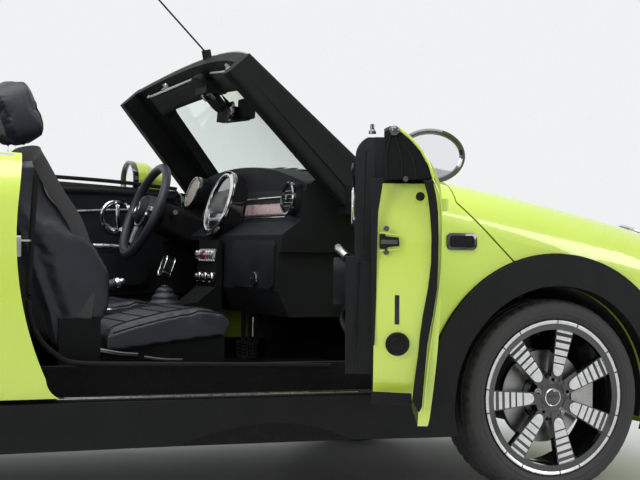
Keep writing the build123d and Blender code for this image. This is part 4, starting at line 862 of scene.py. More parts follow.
# trim: seam between its halves and a soft ridge down its rear edge
TRIM_EDGE_PIXEL = (372, 300)
trim_point, trim_normal = pick(*TRIM_EDGE_PIXEL, "door_trim_right")
TRIM = (trim_point, trim_normal)
TRIM_SEAM_PIXELS = (
    ([(359.5, 257.6), (368, 258.6), (376, 258.8), (384.5, 258)], 0.0016),
    ([(366, 150), (364.8, 180), (363.8, 215), (363.2, 250)], 0.0022),
    ([(358.5, 262), (357, 300), (355, 340), (353.5, 370)], 0.0022),
)
bm = bmesh.new()
for line, thick in TRIM_SEAM_PIXELS:
    add_tube(bm, plane_curve(line, TRIM, 0.0005, 5), thick, sides=8)
place("door_trim_seams_right", bm, DOOR, SEAL)
DOOR_TRIM_SCREW_PIXEL = (371.5, 330)
boss(
    "door_trim_screw_right", *DOOR_TRIM_SCREW_PIXEL, [(0.0, 0.001), (0.004, 0.0025),
    (0.0065, 0.002), (0.0075, -0.001)], TRIM, DOOR, SEAL, "cabin_plastic", 20
)
LOCK_PIN_PIXEL = (372.4, 133)
pin = plane_point(*LOCK_PIN_PIXEL, *TRIM) - trim_normal * 0.03
piece(
    "door_lock_pin_right", DOOR, GLOSS, "gloss_black", add_lathe, [(0.0, 0.017), (0.0035, 0.0165),
    (0.0050, 0.0135), (0.0050, 0.004), (0.0085, 0.0), (0.0090, -0.006)], frame_at(pin, (0, 0, 1),
    (1, 0, 0)), steps=24
)


def door_inside(tag, side, body, matrix):
    """Fittings on the cabin side of a door, drawn with the door shut."""
    y = side * 0.6442

    def at(x, z, out=0.0):
        return Vector((x, y - side * out, z))

    # band with a lever and its silver surround
    m = frame_at((0.216, y, 0.887), (0, -side, 0))
    piece(
        f"door_ring_{tag}", body, CHROME, "chrome", add_lathe, [(0.052, -0.004), (0.052, 0.006),
        (0.056, 0.010), (0.062, 0.010), (0.066, 0.006), (0.066, -0.004)], m, steps=56, closed=True,
        matrix=matrix
    )
    piece(
        f"door_ring_cup_{tag}", body, GLOSS, "gloss_black", add_lathe, [(0.0, -0.006),
        (0.030, -0.004), (0.047, 0.000), (0.0515, 0.004), (0.0515, -0.006)], m, steps=48,
        matrix=matrix
    )
    piece(
        f"door_lever_{tag}", body, CHROME, "chrome", add_prism, rounded(0.016, 0.094, 0.007),
        -0.002, 0.012, m, bevel=0.003, matrix=matrix
    )
    band = curve_through([at(0.50, 0.955, 0.004), at(0.30, 0.978, 0.006), at(0.05, 0.985, 0.006),
                          at(-0.20, 0.975, 0.006), at(-0.36, 0.955, 0.004)], 8)
    piece(
        f"door_rail_{tag}", body, SOFT_PLASTIC, "cabin_plastic", add_tube, band, 0.011, sides=12,
        flat=0.45, matrix=matrix
    )
    line = curve_through([at(0.50, 0.905, 0.002), at(0.32, 0.915, 0.003), at(0.05, 0.905, 0.003),
                          at(-0.20, 0.880, 0.003), at(-0.34, 0.845, 0.002)], 8)
    piece(
        f"door_strip_{tag}", body, SATIN, "chrome", add_tube, line, 0.0045, sides=8, flat=0.6,
        matrix=matrix
    )
    # pocket below the armrest and loudspeaker
    pocket = [at(0.46, 0.56, 0.0), at(0.46, 0.60, 0.0), at(0.20, 0.595, 0.0), at(-0.08, 0.59, 0.0),
              at(-0.22, 0.575, 0.0), at(-0.26, 0.545, 0.0)]
    lift = [0.0, 0.018, 0.030, 0.030, 0.020, 0.0]
    piece(
        f"door_pocket_lip_{tag}", body, PLASTIC, "cabin_plastic", add_tube,
        curve_through([p + Vector((0, -side * h, 0)) for p, h in zip(pocket, lift)], 6), 0.007,
        sides=10, matrix=matrix
    )
    m = frame_at((0.40, y, 0.66), (0, -side, 0))
    bm = bmesh.new()
    add_lathe(bm, [(0.0, 0.0015), (0.052, 0.0020), (0.058, 0.0045), (0.064, 0.0045),
                   (0.068, 0.0), (0.068, -0.003)], m, steps=48)
    for ring in range(1, 5):
        r = 0.011 * ring
        add_lathe(bm, [(r - 0.0022, 0.001), (r, 0.0042), (r + 0.0022, 0.001)], m, steps=48)
    place(f"door_speaker_{tag}", bm, body, PLASTIC, matrix=matrix)
    # pull on the armrest
    path = curve_through([at(0.29, 0.752, 0.020), at(0.24, 0.770, 0.040), at(0.10, 0.776, 0.045),
                          at(-0.04, 0.770, 0.040), at(-0.09, 0.752, 0.020)], 7)
    piece(f"door_pull_{tag}", body, SATIN, "chrome", add_tube, path, 0.010, sides=12, matrix=matrix)
    # waist seal along the window slot
    piece(
        f"door_waist_seal_{tag}", body, SEAL, "cabin_plastic", add_tube,
        curve_through([Vector((x, side * yy, z)) for x, yy, z in ((0.47, 0.705, 1.000),
        (0.25, 0.725, 1.022), (0.0, 0.732, 1.036), (-0.2, 0.730, 1.041), (-0.38, 0.722, 1.040))],
        6), 0.0075, sides=8, flat=0.7, matrix=matrix
    )


door_inside("right", -1, "door_right", OPENED)
door_inside("left", 1, "door_left", None)

# Door mirrors: dark surround over the housing's rear edge, and the glass
MIRROR_AT = Vector((0.315, 0.850, 1.036))
MIRROR_STEPS = 64
MIRROR_RIM = (
    (0.083, 0.062, -0.004), (0.0865, 0.0655, 0.0035), (0.0925, 0.0715, 0.0055),
    (0.0982, 0.0772, 0.0030), (0.0992, 0.0782, -0.004), (0.0975, 0.0765, -0.016),
    (0.090, 0.069, -0.014),
)


def oval(bm, m, half_width, half_height, height):
    """Ring of points round an ellipse."""
    angles = [t * 2 * math.pi / MIRROR_STEPS for t in range(MIRROR_STEPS)]
    return [
        bm.verts.new(m @ Vector((half_width * math.cos(a), half_height * math.sin(a), height)))
        for a in angles
    ]


def bridge(bm, lower, upper):
    """Faces between two such rings."""
    for t in range(MIRROR_STEPS):
        w = (t + 1) % MIRROR_STEPS
        bm.faces.new((lower[t], lower[w], upper[w], upper[t]))


for tag, side, matrix in (("right", -1, OPENED), ("left", 1, None)):
    body = f"door_{tag}"
    middle = Vector((MIRROR_AT.x, side * MIRROR_AT.y, MIRROR_AT.z))
    turned = matrix or Matrix.Identity(4)
    back = turned.to_3x3() @ Vector((-1, 0, 0))
    probe = turned @ (middle + Vector((-0.30, 0, 0.0)))
    hit, _ = drop(probe, -back, f"mirror_{tag}", reach=0.6)
    rear_x = middle.x - 0.30 + (hit - probe).length if hit is not None else middle.x - 0.05
    m = frame_at((rear_x, middle.y, middle.z), (-1, 0, 0))
    bm = bmesh.new()
    rings = [oval(bm, m, a, b, h + 0.0065) for a, b, h in MIRROR_RIM]
    for lower, upper in zip(rings, rings[1:] + rings[:1]):
        bridge(bm, lower, upper)
    place(f"mirror_rim_{tag}", bm, body, GLOSS, matrix=matrix)
    bm = bmesh.new()
    centre = bm.verts.new(m @ Vector((0, 0, 0.0022)))
    ring = oval(bm, m, 0.088 * 0.5, 0.066 * 0.5, 0.0016)
    for t in range(MIRROR_STEPS):
        bm.faces.new((centre, ring[t], ring[(t + 1) % MIRROR_STEPS]))
    bridge(bm, ring, oval(bm, m, 0.088 * 0.97, 0.066 * 0.97, 0.0))
    place(f"mirror_glass_{tag}", bm, body, MIRROR, matrix=matrix)


# Lamps, plates, waist strip and the other outer details
def strip_on(bm, points, way, names, radius, flat=1.0, steps=8):
    """Tube laid on the body along points dropped on it."""
    path = []
    for point in curve_through(points, steps):
        hit, _ = drop(point, way, *names)
        if hit is not None:
            path.append(hit)
    if len(path) > 2:
        add_tube(bm, path, radius, sides=10, flat=flat)


def flush(bm, outline, at, way, names, low, high, bevel=0.0, up=(0, 0, 1)):
    """Prism on the body where a line from a point meets it, along the normal there."""
    hit, normal = drop(at, way, *names)
    if hit is None:
        return None
    m = frame_at(hit, normal, up)
    add_prism(bm, outline, low, high, m, bevel=bevel)
    return m


# headlamps: chrome ring and the two round lenses
LAMP_AXIS = Vector((0.77, -0.30, 0.56)).normalized()
for tag, side in SIDES:
    normal = Vector((LAMP_AXIS.x, -side * LAMP_AXIS.y, LAMP_AXIS.z))
    middle = Vector((1.708, side * 0.576, 0.706))
    m = frame_at(middle, normal)
    path = []
    for k in range(64):
        angle = 2 * math.pi * k / 64
        start = m @ Vector((0.1135 * math.cos(angle), 0.1495 * math.sin(angle), 0.30))
        hit, _ = drop(start, -normal, "headlamps", reach=0.6)
        if hit is not None:
            path.append(hit)
    bm = bmesh.new()
    if len(path) > 40:
        add_tube(bm, path, 0.0065, sides=10, closed=True)
    place(f"headlamp_ring_{tag}", bm, "bonnet", CHROME)
    hit, _ = drop(middle + normal * 0.3, -normal, "headlamps", reach=0.6)
    m = frame_at(hit - normal * 0.001, normal)
    bm = bmesh.new()
    add_lathe(bm, [(0.0, -0.0005), (0.030, 0.0012), (0.033, 0.0030), (0.038, 0.0030),
                   (0.041, 0.0008)], m @ Matrix.Translation((0, 0.030, 0)), steps=48)
    add_lathe(bm, [(0.0, -0.0005), (0.022, 0.0012), (0.024, 0.0026), (0.028, 0.0026),
                   (0.030, 0.0008)], m @ Matrix.Translation((0, -0.060, 0)), steps=40)
    place(f"headlamp_projector_{tag}", bm, "bonnet", CHROME)

# waist strip along the body's top edge, behind the doors
for tag, side in SIDES:
    bm = bmesh.new()
    path = []
    for k in range(40):
        x = -0.46 - 0.98 * k / 39
        hit = None
        for inward in (0.775, 0.765, 0.755, 0.745):
            hit, _ = drop((x, side * inward, 1.3), (0, 0, -1), f"quarter_{tag}", reach=0.6)
            if hit is not None:
                break
        if hit is not None:
            path.append(hit)
    if len(path) > 2:
        add_tube(bm, path, 0.0055, sides=10)
    place(f"waist_strip_{tag}", bm, "body", CHROME)

# side trims behind the front wheels, and the fuel flap's seam
for tag, side in SIDES:
    bm = bmesh.new()
    m = flush(bm, rounded(0.105, 0.052, 0.016), (0.910, side * 1.3, 0.800), (0, -side, 0),
              (f"wing_{tag}",), -0.002, 0.0050, bevel=0.002)
    place(f"side_scuttle_{tag}", bm, "body", GLOSS)
    bm = bmesh.new()
    if m is not None:
        add_prism(bm, rounded(0.085, 0.036, 0.010), 0.0045, 0.0062, m, bevel=0.0006)
        for k in range(-4, 5):
            add_prism(bm, rounded(0.0016, 0.034, 0.0006, 2), 0.006, 0.0072,
                      m @ Matrix.Translation((0.009 * k, 0, 0)))
    place(f"side_scuttle_mesh_{tag}", bm, "body", SEAL)
bm = bmesh.new()
hit, normal = drop((-1.10, -1.3, 0.84), (0, 1, 0), "quarter_right")
if hit is not None:
    m = frame_at(hit, normal)
    path = [m @ Vector((0.078 * math.cos(a), 0.078 * math.sin(a), 0)) for a in (
        2 * math.pi * k / 48 for k in range(48))]
    path = [drop(p + normal * 0.05, -normal, "quarter_right", reach=0.2)[0] or p for p in path]
    add_tube(bm, path, 0.0022, sides=8, closed=True)
place("fuel_flap_seam", bm, "body", SEAL)

# front: grille bars, intake bars, blank plate and fog lamps
low, high = (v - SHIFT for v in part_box("grille"))
bm = bmesh.new()
wide, tall = high.y - low.y, high.z - low.z
for k in range(1, 6):
    z = low.z + tall * (0.28 + 0.125 * k)
    points = [(high.x + 0.3, low.y + wide * (0.10 + 0.80 * j / 12), z) for j in range(13)]
    strip_on(bm, points, (-1, 0, 0), ("grille",), 0.0062, steps=2)
place("grille_bars", bm, "body", CHROME)
low, high = (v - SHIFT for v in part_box("front_bumper"))
bm = bmesh.new()
for k in range(5):
    z = 0.255 + 0.026 * k
    points = [(high.x + 0.3, -0.46 + 0.92 * j / 16, z) for j in range(17)]
    strip_on(bm, points, (-1, 0, 0), ("front_bumper",), 0.0048, steps=2)
place("intake_bars", bm, "body", GLOSS)
piece(
    "front_plate_blank", "body", WHITE_FACE, None, flush, rounded(0.520, 0.110, 0.008),
    (high.x + 0.3, 0.0, 0.455), (-1, 0, 0), ("front_bumper", "grille"), -0.004, 0.0065,
    bevel=0.0015
)
for tag, side in SIDES:
    hit, normal = drop((high.x + 0.3, side * 0.560, 0.375), (-1, 0, 0), "front_bumper")
    if hit is None:
        continue
    m = frame_at(hit, normal)
    piece(
        f"fog_lamp_ring_{tag}", "body", CHROME, "chrome", add_lathe, [(0.044, 0.0), (0.047, 0.007),
        (0.053, 0.0075), (0.057, 0.003), (0.057, -0.004)], m, steps=48
    )
    piece(
        f"fog_lamp_{tag}", "body", SATIN, "lamp_glass", add_lathe, [(0.0, 0.0055), (0.025, 0.0048),
        (0.044, 0.0020), (0.045, -0.003)], m, steps=48
    )

# rear: lamp surrounds and lenses, blank plate, lid handle and reflectors
low, high = (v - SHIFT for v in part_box("tail_lamps"))
for tag, side in SIDES:
    hit, normal = drop((low.x - 0.3, side * 0.655, 0.770), (1, 0, 0), "tail_lamps")
    if hit is None:
        continue
    m = frame_at(hit, normal)
    bm = bmesh.new()
    path = []
    for x, y in rounded(0.126, 0.226, 0.048):
        start = m @ Vector((x * 0.985, y * 0.985, 0.12))
        where, _ = drop(start, -normal, "tail_lamps", reach=0.3)
        if where is not None:
            path.append(where)
    if len(path) > 8:
        add_tube(bm, path, 0.0050, sides=10, closed=True)
    place(f"tail_lamp_surround_{tag}", bm, "body", CHROME)
    bm = bmesh.new()
    for y, height in ((0.058, 0.070), (-0.022, 0.060)):
        add_prism(bm, rounded(0.086, height, 0.022), -0.002, 0.0035,
                  m @ Matrix.Translation((0, y, 0)), bevel=0.0015)
    place(f"tail_lamp_lens_{tag}", bm, "body", TAIL_GLASS)
    piece(
        f"tail_lamp_indicator_{tag}", "body", AMBER, "lamp_glass", add_prism,
        rounded(0.086, 0.026, 0.010), -0.002, 0.0035, m @ Matrix.Translation((0, -0.080, 0)),
        bevel=0.0012
    )
low, high = (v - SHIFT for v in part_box("boot_lid"))
piece(
    "rear_plate_blank", "boot_lid", WHITE_FACE, None, flush, rounded(0.520, 0.110, 0.008),
    (low.x - 0.3, 0.0, 0.640), (1, 0, 0), ("boot_lid",), -0.004, 0.0065, bevel=0.0015
)
piece(
    "lid_handle", "boot_lid", CHROME, "chrome", flush, rounded(0.560, 0.030, 0.010),
    (low.x - 0.3, 0.0, 0.735), (1, 0, 0), ("boot_lid",), -0.003, 0.0160, bevel=0.004
)
low, high = (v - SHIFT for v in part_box("rear_bumper"))
for tag, side in SIDES:
    piece(
        f"rear_reflector_{tag}", "body", RED, "lamp_glass", flush, rounded(0.130, 0.030, 0.008),
        (low.x - 0.3, side * 0.56, 0.430), (1, 0, 0), ("rear_bumper",), -0.002, 0.0050,
        bevel=0.0015
    )

# right door: edge of the trim that laps the shut face, and the dark foot of that face
TRIM_LAP_PIXELS = [
    (371.5, 178.5), (383.5, 178.5), (381, 195), (378.3, 212), (377, 250), (376.3, 295),
    (374.5, 345), (371.5, 345),
]
panel(
    "trim_lap_right", TRIM_LAP_PIXELS, -0.002, 0.0022, FACE, DOOR, SOFT_PLASTIC,
    bevel=0.0008
)
DOOR_FOOT_SEAL_PIXELS = [(371.2, 391.5), (411.5, 393.5), (412.0, 404.5), (371.2, 404.0)]
panel(
    "door_foot_seal_right", DOOR_FOOT_SEAL_PIXELS, -0.002, 0.0024, FACE, DOOR, SEAL,
    bevel=0.0008
)

# Rear sides: skin between the side panel and the tail, over the rear arch
REAR_SKIN_START, REAR_SKIN_END = -1.2120, -1.6450
SKIN_COLUMNS, SKIN_ROWS = 36, 22
SKIN_FOOT_RADIUS = 0.405
SKIN_TOP, SKIN_TOP_FALL = 1.036, 0.081
SKIN_CURVE = 1.3
SKIN_HEIGHTS = (0.50, 0.58, 0.66, 0.74, 0.78, 0.82, 0.86, 0.90, 0.94, 0.98, 1.02, 1.04)
SKIN_FRONT = (0.857, 0.857, 0.857, 0.857, 0.856, 0.855, 0.854, 0.853, 0.847, 0.829, 0.793, 0.770)
SKIN_REAR = (0.797, 0.797, 0.797, 0.797, 0.794, 0.752, 0.722, 0.692, 0.664, 0.636, 0.608, 0.590)


def along_table(value, keys, results):
    """Straight-line value between the entries of a table."""
    for a, b, p, q in zip(keys, keys[1:], results, results[1:]):
        if value <= b:
            return p + (q - p) * max(0.0, (value - a) / (b - a))
    return results[-1]


for tag, side in SIDES:
    low, high = (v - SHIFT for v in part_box(f"wheel_rear_{tag}"))
    axle_x, axle_z = (low.x + high.x) / 2, (low.z + high.z) / 2
    bm = bmesh.new()
    lines = []
    for i in range(SKIN_COLUMNS + 1):
        share = i / SKIN_COLUMNS
        x = REAR_SKIN_START + (REAR_SKIN_END - REAR_SKIN_START) * share
        reach = SKIN_FOOT_RADIUS**2 - (x - axle_x) ** 2
        foot = axle_z + math.sqrt(max(reach, 0.15**2))
        top = SKIN_TOP - SKIN_TOP_FALL * min(1.0, share / 0.6)
        line = []
        for j in range(SKIN_ROWS + 1):
            z = foot + (top - foot) * j / SKIN_ROWS
            y = (along_table(z, SKIN_HEIGHTS, SKIN_FRONT) * (1 - share**SKIN_CURVE)
                 + along_table(z, SKIN_HEIGHTS, SKIN_REAR) * share**SKIN_CURVE)
            line.append(bm.verts.new((x, side * y, z)))
        line.append(bm.verts.new((x, side * min(y - 0.02, 0.700), min(top - 0.004, 0.956))))
        lines.append(line)
    for a, b in zip(lines, lines[1:]):
        for j in range(len(a) - 1):
            bm.faces.new((a[j], a[j + 1], b[j + 1], b[j]))
    bmesh.ops.recalc_face_normals(bm, faces=bm.faces[:])
    bmesh.ops.solidify(bm, geom=bm.faces[:], thickness=0.0025)
    place(f"rear_side_skin_{tag}", bm, "body", PAINT)

# Under the windscreen's top rail: visors, roof console and interior mirror
TOP_MID, TOP_SIDE = Vector((0.372, 0, 1.425)), Vector((0.280, 0.650, 1.362))
DOWN = Vector((0.6606, 0, -0.7507))
OUT = Vector((0.7507, 0, 0.6606))


def header(y, down, depth):
    """Point under the top rail: across, down the glass from its top, and inside it."""
    share = (abs(y) / TOP_SIDE.y) ** 2
    top = TOP_MID.lerp(Vector((TOP_SIDE.x, 0, TOP_SIDE.z)), share)
    return Vector((top.x, y, top.z)) + DOWN * down - OUT * depth


for tag, side in SIDES:
    bm = bmesh.new()
    grid = []
    rows, columns = 8, 14
    for face, depth in ((0, 0.052), (1, 0.070)):
        for i in range(rows + 1):
            line = []
            for j in range(columns + 1):
                a, b = i / rows, j / columns
                edge = min(a, 1 - a, b, 1 - b)
                puff = min(1.0, edge * 7) ** 0.5
                y = side * (0.085 + 0.40 * b)
                middle = 0.061
                line.append(bm.verts.new(
                    header(y, 0.030 + 0.078 * a, middle + (depth - middle) * (0.35 + 0.65 * puff))
                ))
            grid.append(line)
    for half in (0, rows + 1):
        for i in range(rows):
            for j in range(columns):
                a, b = grid[half + i], grid[half + i + 1]
                bm.faces.new((a[j], a[j + 1], b[j + 1], b[j]))
    rim = (
        [(0, j) for j in range(columns)] + [(i, columns) for i in range(rows)]
        + [(rows, columns - j) for j in range(columns)] + [(rows - i, 0) for i in range(rows)]
    )
    for k, (i, j) in enumerate(rim):
        p, q = rim[(k + 1) % len(rim)]
        bm.faces.new((
            grid[i][j], grid[p][q], grid[rows + 1 + p][q], grid[rows + 1 + i][j]
        ))
    place(f"sun_visor_{tag}", bm, "body", SOFT_PLASTIC, angle=60)
    bm = bmesh.new()
    add_tube(bm, [header(side * 0.075, 0.026, 0.058), header(side * 0.50, 0.026, 0.058)], 0.0045,
             sides=10)
    add_tube(bm, [header(side * 0.50, 0.026, 0.058), header(side * 0.50, 0.020, 0.030)], 0.0045,
             sides=10)
    place(f"visor_rod_{tag}", bm, "body", SATIN)
# roof console: lamp lenses, knob and two latches of the folding top
under = header(0, 0.085, 0.085)
m = frame_at(under, -OUT, (0, 1, 0))
piece(
    "roof_console", "body", PLASTIC, "cabin_plastic", add_prism, rounded(0.150, 0.090, 0.020),
    -0.012, 0.010, m, bevel=0.005, segments=3
)
bm = bmesh.new()
for shift in (-0.042, 0.042):
    add_prism(bm, rounded(0.045, 0.030, 0.008), 0.0095, 0.0125,
              m @ Matrix.Translation((0, shift, 0)), bevel=0.0012)
place("roof_lamp_lenses", bm, "body", LAMP_GLASS)
piece(
    "roof_knob", "body", GLOSS, "gloss_black", add_lathe, [(0.0, 0.026), (0.010, 0.025),
    (0.014, 0.021), (0.015, 0.012), (0.017, 0.009)], m, steps=28
)
for tag, side in SIDES:
    bm = bmesh.new()
    where = header(side * 0.36, 0.020, 0.048)
    mm = frame_at(where, -OUT, (0, 1, 0))
    add_prism(bm, rounded(0.034, 0.060, 0.008), -0.006, 0.008, mm, bevel=0.003)
    add_tube(bm, [mm @ Vector((0, -0.018, 0.008)), mm @ Vector((0, 0.0, 0.019)),
                  mm @ Vector((0, 0.020, 0.010))], 0.005, sides=10)
    place(f"top_latch_{tag}", bm, "body", SATIN)
# interior mirror
m = frame_at((0.4385, 0.0, 1.2425), (-0.985, 0.14, 0.1))
piece(
    "cabin_mirror_glass", "body", MIRROR, "chrome", add_prism, rounded(0.152, 0.048, 0.020), -0.004,
    0.0030, m, bevel=0.0010
)
piece(
    "cabin_mirror_rim", "body", GLOSS, "gloss_black", add_tube,
    [m @ Vector((x, y, 0.002)) for x, y in rounded(0.166, 0.060, 0.024)], 0.0050, sides=8,
    closed=True
)
piece(
    "screen_sensor_cover", "body", PLASTIC, "cabin_plastic", box_piece, (0.452, -0.105, 1.215),
    (0.500, -0.045, 1.285), bevel=0.010
)

# wipers on the scuttle
for tag, y0, y1, x0, x1 in (
    ("right", -0.10, -0.62, 0.860, 0.760), ("left", 0.42, -0.06, 0.850, 0.875),
):
    bm = bmesh.new()
    path = []
    for k in range(9):
        share = k / 8
        x, y = x0 + (x1 - x0) * share, y0 + (y1 - y0) * share
        point, _ = drop((x, y, 1.5), (0, 0, -1), "scuttle", "windscreen_glass", "bonnet")
        path.append(point + Vector((0, 0, 0.012)))
    add_tube(bm, path, [0.008 - 0.0004 * k for k in range(9)], sides=10, flat=0.7)
    add_tube(bm, [p + Vector((0.0, 0, -0.006)) for p in path[2:]], 0.0030, sides=6)
    add_lathe(bm, [(0.0, 0.016), (0.010, 0.015), (0.014, 0.010), (0.015, -0.012)],
              frame_at(path[0], (0, 0, 1), (1, 0, 0)), steps=24)
    place(f"wiper_{tag}", bm, "body", SEAL)

# Dashboard
DASH_X = 0.392


def dash_face(z):
    """Front of the dashboard's upper face at a height."""
    return 0.455 + (z - 0.860) / 0.095 * 0.015


for tag, y0, y1 in (("right", -0.505, -0.130), ("left", 0.130, 0.505)):
    bm = bmesh.new()
    low, high = 0.880, 0.918
    rows = [(dash_face(low) - 0.001, low), (dash_face(low) - 0.0045, low + 0.004),
            (dash_face(high) - 0.0050, high - 0.004), (dash_face(high) - 0.001, high)]
    steps = 24
    lines = []
    for k in range(steps + 1):
        y = y0 + (y1 - y0) * k / steps
        lines.append([bm.verts.new((x, y, z)) for x, z in rows])
    for a, b in zip(lines, lines[1:]):
        for i in range(len(rows) - 1):
            bm.faces.new((a[i], a[i + 1], b[i + 1], b[i]))
    place(f"decor_strip_{tag}", bm, "body", ROSE)
    bm = bmesh.new()
    add_tube(bm, [(dash_face(0.937) - 0.002, y0, 0.937), (dash_face(0.937) - 0.002, y1, 0.937)],
             0.0042, sides=10)
    add_tube(bm, [(dash_face(0.873) - 0.001, y0, 0.873), (dash_face(0.873) - 0.001, y1, 0.873)],
             0.0022, sides=8)
    place(f"decor_edge_{tag}", bm, "body", CHROME)
for tag, side in SIDES:
    m = frame_at((0.4415, side * 0.575, 0.9277), (-1, 0, 0.1))
    piece(
        f"vent_ring_{tag}", "body", GLOSS, "gloss_black", add_lathe, [(0.0430, 0.002),
        (0.0445, 0.008), (0.0500, 0.0095), (0.0535, 0.006), (0.0535, -0.002)], m, steps=48
    )
    bm = bmesh.new()
    add_lathe(bm, [(0.0, -0.0005), (0.0440, 0.0005), (0.0440, 0.004)], m, steps=40)
    for z in (-0.024, -0.012, 0.0, 0.012, 0.024):
        half = math.sqrt(0.042**2 - z * z)
        add_prism(bm, [(-half, z - 0.0016), (half, z - 0.0016), (half, z + 0.0016),
                       (-half, z + 0.0016)], -0.001, 0.0055, m, bevel=0.0006)
    add_prism(bm, rounded(0.010, 0.020, 0.003), 0.004, 0.0105, m, bevel=0.001)
    place(f"vent_vanes_{tag}", bm, "body", GLOSS)
# demister slots under the screen
bm = bmesh.new()
for k in range(11):
    point, _ = drop((0.585, -0.56 + 0.112 * k, 1.4), (0, 0, -1), "dashboard")
    if point is None:
        continue
    for offset in (-0.009, -0.003, 0.003, 0.009):
        ends = [point + Vector((offset, y, 0.0012)) for y in (-0.040, 0.040)]
        add_tube(bm, ends, 0.0013, sides=6)
place("demister_slots", bm, "body", SEAL)
# stitched seam along the dash pad's rear edge
bm = bmesh.new()
for k in range(0, 70, 2):
    point, _ = drop((0.492, -0.60 + 1.2 * k / 69, 1.4), (0, 0, -1), "dashboard")
    if point is not None:
        ends = [point + Vector((0, y, 0.0008)) for y in (-0.006, 0.006)]
        add_tube(bm, ends, 0.0011, sides=6)
place("dash_stitching", bm, "body", THREAD)
# glovebox lid with its handle, and the seam above it
LID_LEFT, LID_RIGHT = -0.200, -0.590
m = frame_at((DASH_X - 0.0005, (LID_RIGHT + LID_LEFT) / 2, 0.7225), (-1, 0, 0.03))
piece(
    "glovebox_lid", "body", SOFT_PLASTIC, "cabin_plastic", add_prism,
    rounded(LID_LEFT - LID_RIGHT, 0.152, 0.020), -0.001, 0.0075, m, bevel=0.004, segments=3
)
piece(
    "glovebox_handle", "body", GLOSS, "gloss_black", add_prism, rounded(0.052, 0.046, 0.022), 0.006,
    0.0160, m @ Matrix.Translation((0.045, -0.048, 0)), bevel=0.005, segments=3
)
piece(
    "dash_seam", "body", SEAL, "cabin_plastic", add_tube,
    curve_through([(DASH_X + 0.006, y, z) for y, z in ((-0.60, 0.812), (-0.40, 0.814),
    (-0.15, 0.812))], 6), 0.0032, sides=8
)

# Round display: chrome bezel, dark screen and keys; toggles and knobs below it
AXIS = Vector((-0.9511, 0, 0.3090))
m = frame_at(Vector((0.436, 0, 0.917)) + AXIS * 0.035, AXIS)
piece(
    "display_bezel", "body", CHROME, "chrome", add_lathe, [(0.0965, -0.004), (0.0975, 0.002),
    (0.1030, 0.0048), (0.1105, 0.0040), (0.1170, 0.0005), (0.1182, -0.006)], m, steps=96
)
bm = bmesh.new()
for k in range(40):
    angle = math.radians(200 + 280 * k / 39)
    ends = [m @ Vector((r * math.cos(angle), r * math.sin(angle), h))
            for r, h in ((0.0985, 0.0030), (0.1015, 0.0046))]
    add_tube(bm, ends, 0.0006, sides=6)
place("display_ticks", bm, "body", SEAL)
piece(
    "display_face", "body", GLOSS, "gloss_black", add_lathe, [(0.0, -0.0045), (0.094, -0.0045),
    (0.0958, -0.001)], m, steps=80
)
piece(
    "display_screen", "body", SCREEN, "gloss_black", add_prism, rounded(0.160, 0.082, 0.010),
    -0.0046, -0.0030, m @ Matrix.Translation((0, 0.004, 0)), bevel=0.0006
)
bm = bmesh.new()
for x in (-0.052, -0.026, 0.0, 0.026, 0.052):
    add_prism(bm, rounded(0.022, 0.010, 0.003), -0.0046, -0.0014,
              m @ Matrix.Translation((x, -0.058, 0)), bevel=0.0006)
place("display_keys", bm, "body", SATIN)
stack = frame_at((0.3655, 0, 0.748), (-1, 0, 0.06))
bm = bmesh.new()
add_prism(bm, rounded(0.196, 0.046, 0.012), -0.001, 0.004, stack, bevel=0.001)
add_prism(bm, rounded(0.196, 0.040, 0.012), -0.001, 0.004,
          stack @ Matrix.Translation((0, -0.076, 0)), bevel=0.001)
place("switch_plates", bm, "body", GLOSS)
bm = bmesh.new()
for k in range(7):
    x = -0.078 + 0.026 * k
    if k != 3:
        add_prism(bm, rounded(0.010, 0.028, 0.004), 0.003, 0.018,
                  stack @ Matrix.Translation((x, 0, 0)), bevel=0.002)
    guard = [stack @ Vector((x + 0.013, y, h))
             for y, h in ((-0.020, 0.004), (0.0, 0.018), (0.020, 0.004))]
    add_tube(bm, guard, 0.0017, sides=8)
place("toggle_switches", bm, "body", CHROME)
piece(
    "start_toggle", "body", RED, "gloss_black", add_prism, rounded(0.018, 0.032, 0.006), 0.003,
    0.020, stack, bevel=0.002
)
bm = bmesh.new()
for x in (-0.066, 0.0, 0.066):
    mm = stack @ Matrix.Translation((x, -0.076, 0))
    add_lathe(bm, [(0.0, 0.020), (0.0110, 0.0195), (0.0130, 0.0170), (0.0140, 0.006),
                   (0.0165, 0.004)], mm, steps=36)
place("climate_knobs", bm, "body", GLOSS)
bm = bmesh.new()
for x in (-0.066, 0.0, 0.066):
    mm = stack @ Matrix.Translation((x, -0.076, 0))
    add_lathe(bm, [(0.0143, 0.0045), (0.0165, 0.0075), (0.0180, 0.0045)], mm, steps=36)
place("climate_knob_rings", bm, "body", CHROME)

# driver's display
m = frame_at(Vector((0.448, 0.357, 0.968)) + Vector((-0.9507, 0, 0.3102)) * 0.0252,
             (-0.9507, 0, 0.3102))
piece(
    "driver_display", "body", BEIGE, "gloss_black", add_lathe, [(0.0, 0.0028), (0.040, 0.0026),
    (0.0535, 0.0012)], m, steps=64
)
piece(
    "driver_display_rim", "body", GLOSS, "gloss_black", add_lathe, [(0.0530, 0.0005),
    (0.0540, 0.0045), (0.0590, 0.0050), (0.0622, 0.0020), (0.0624, -0.010)], m, steps=64
)

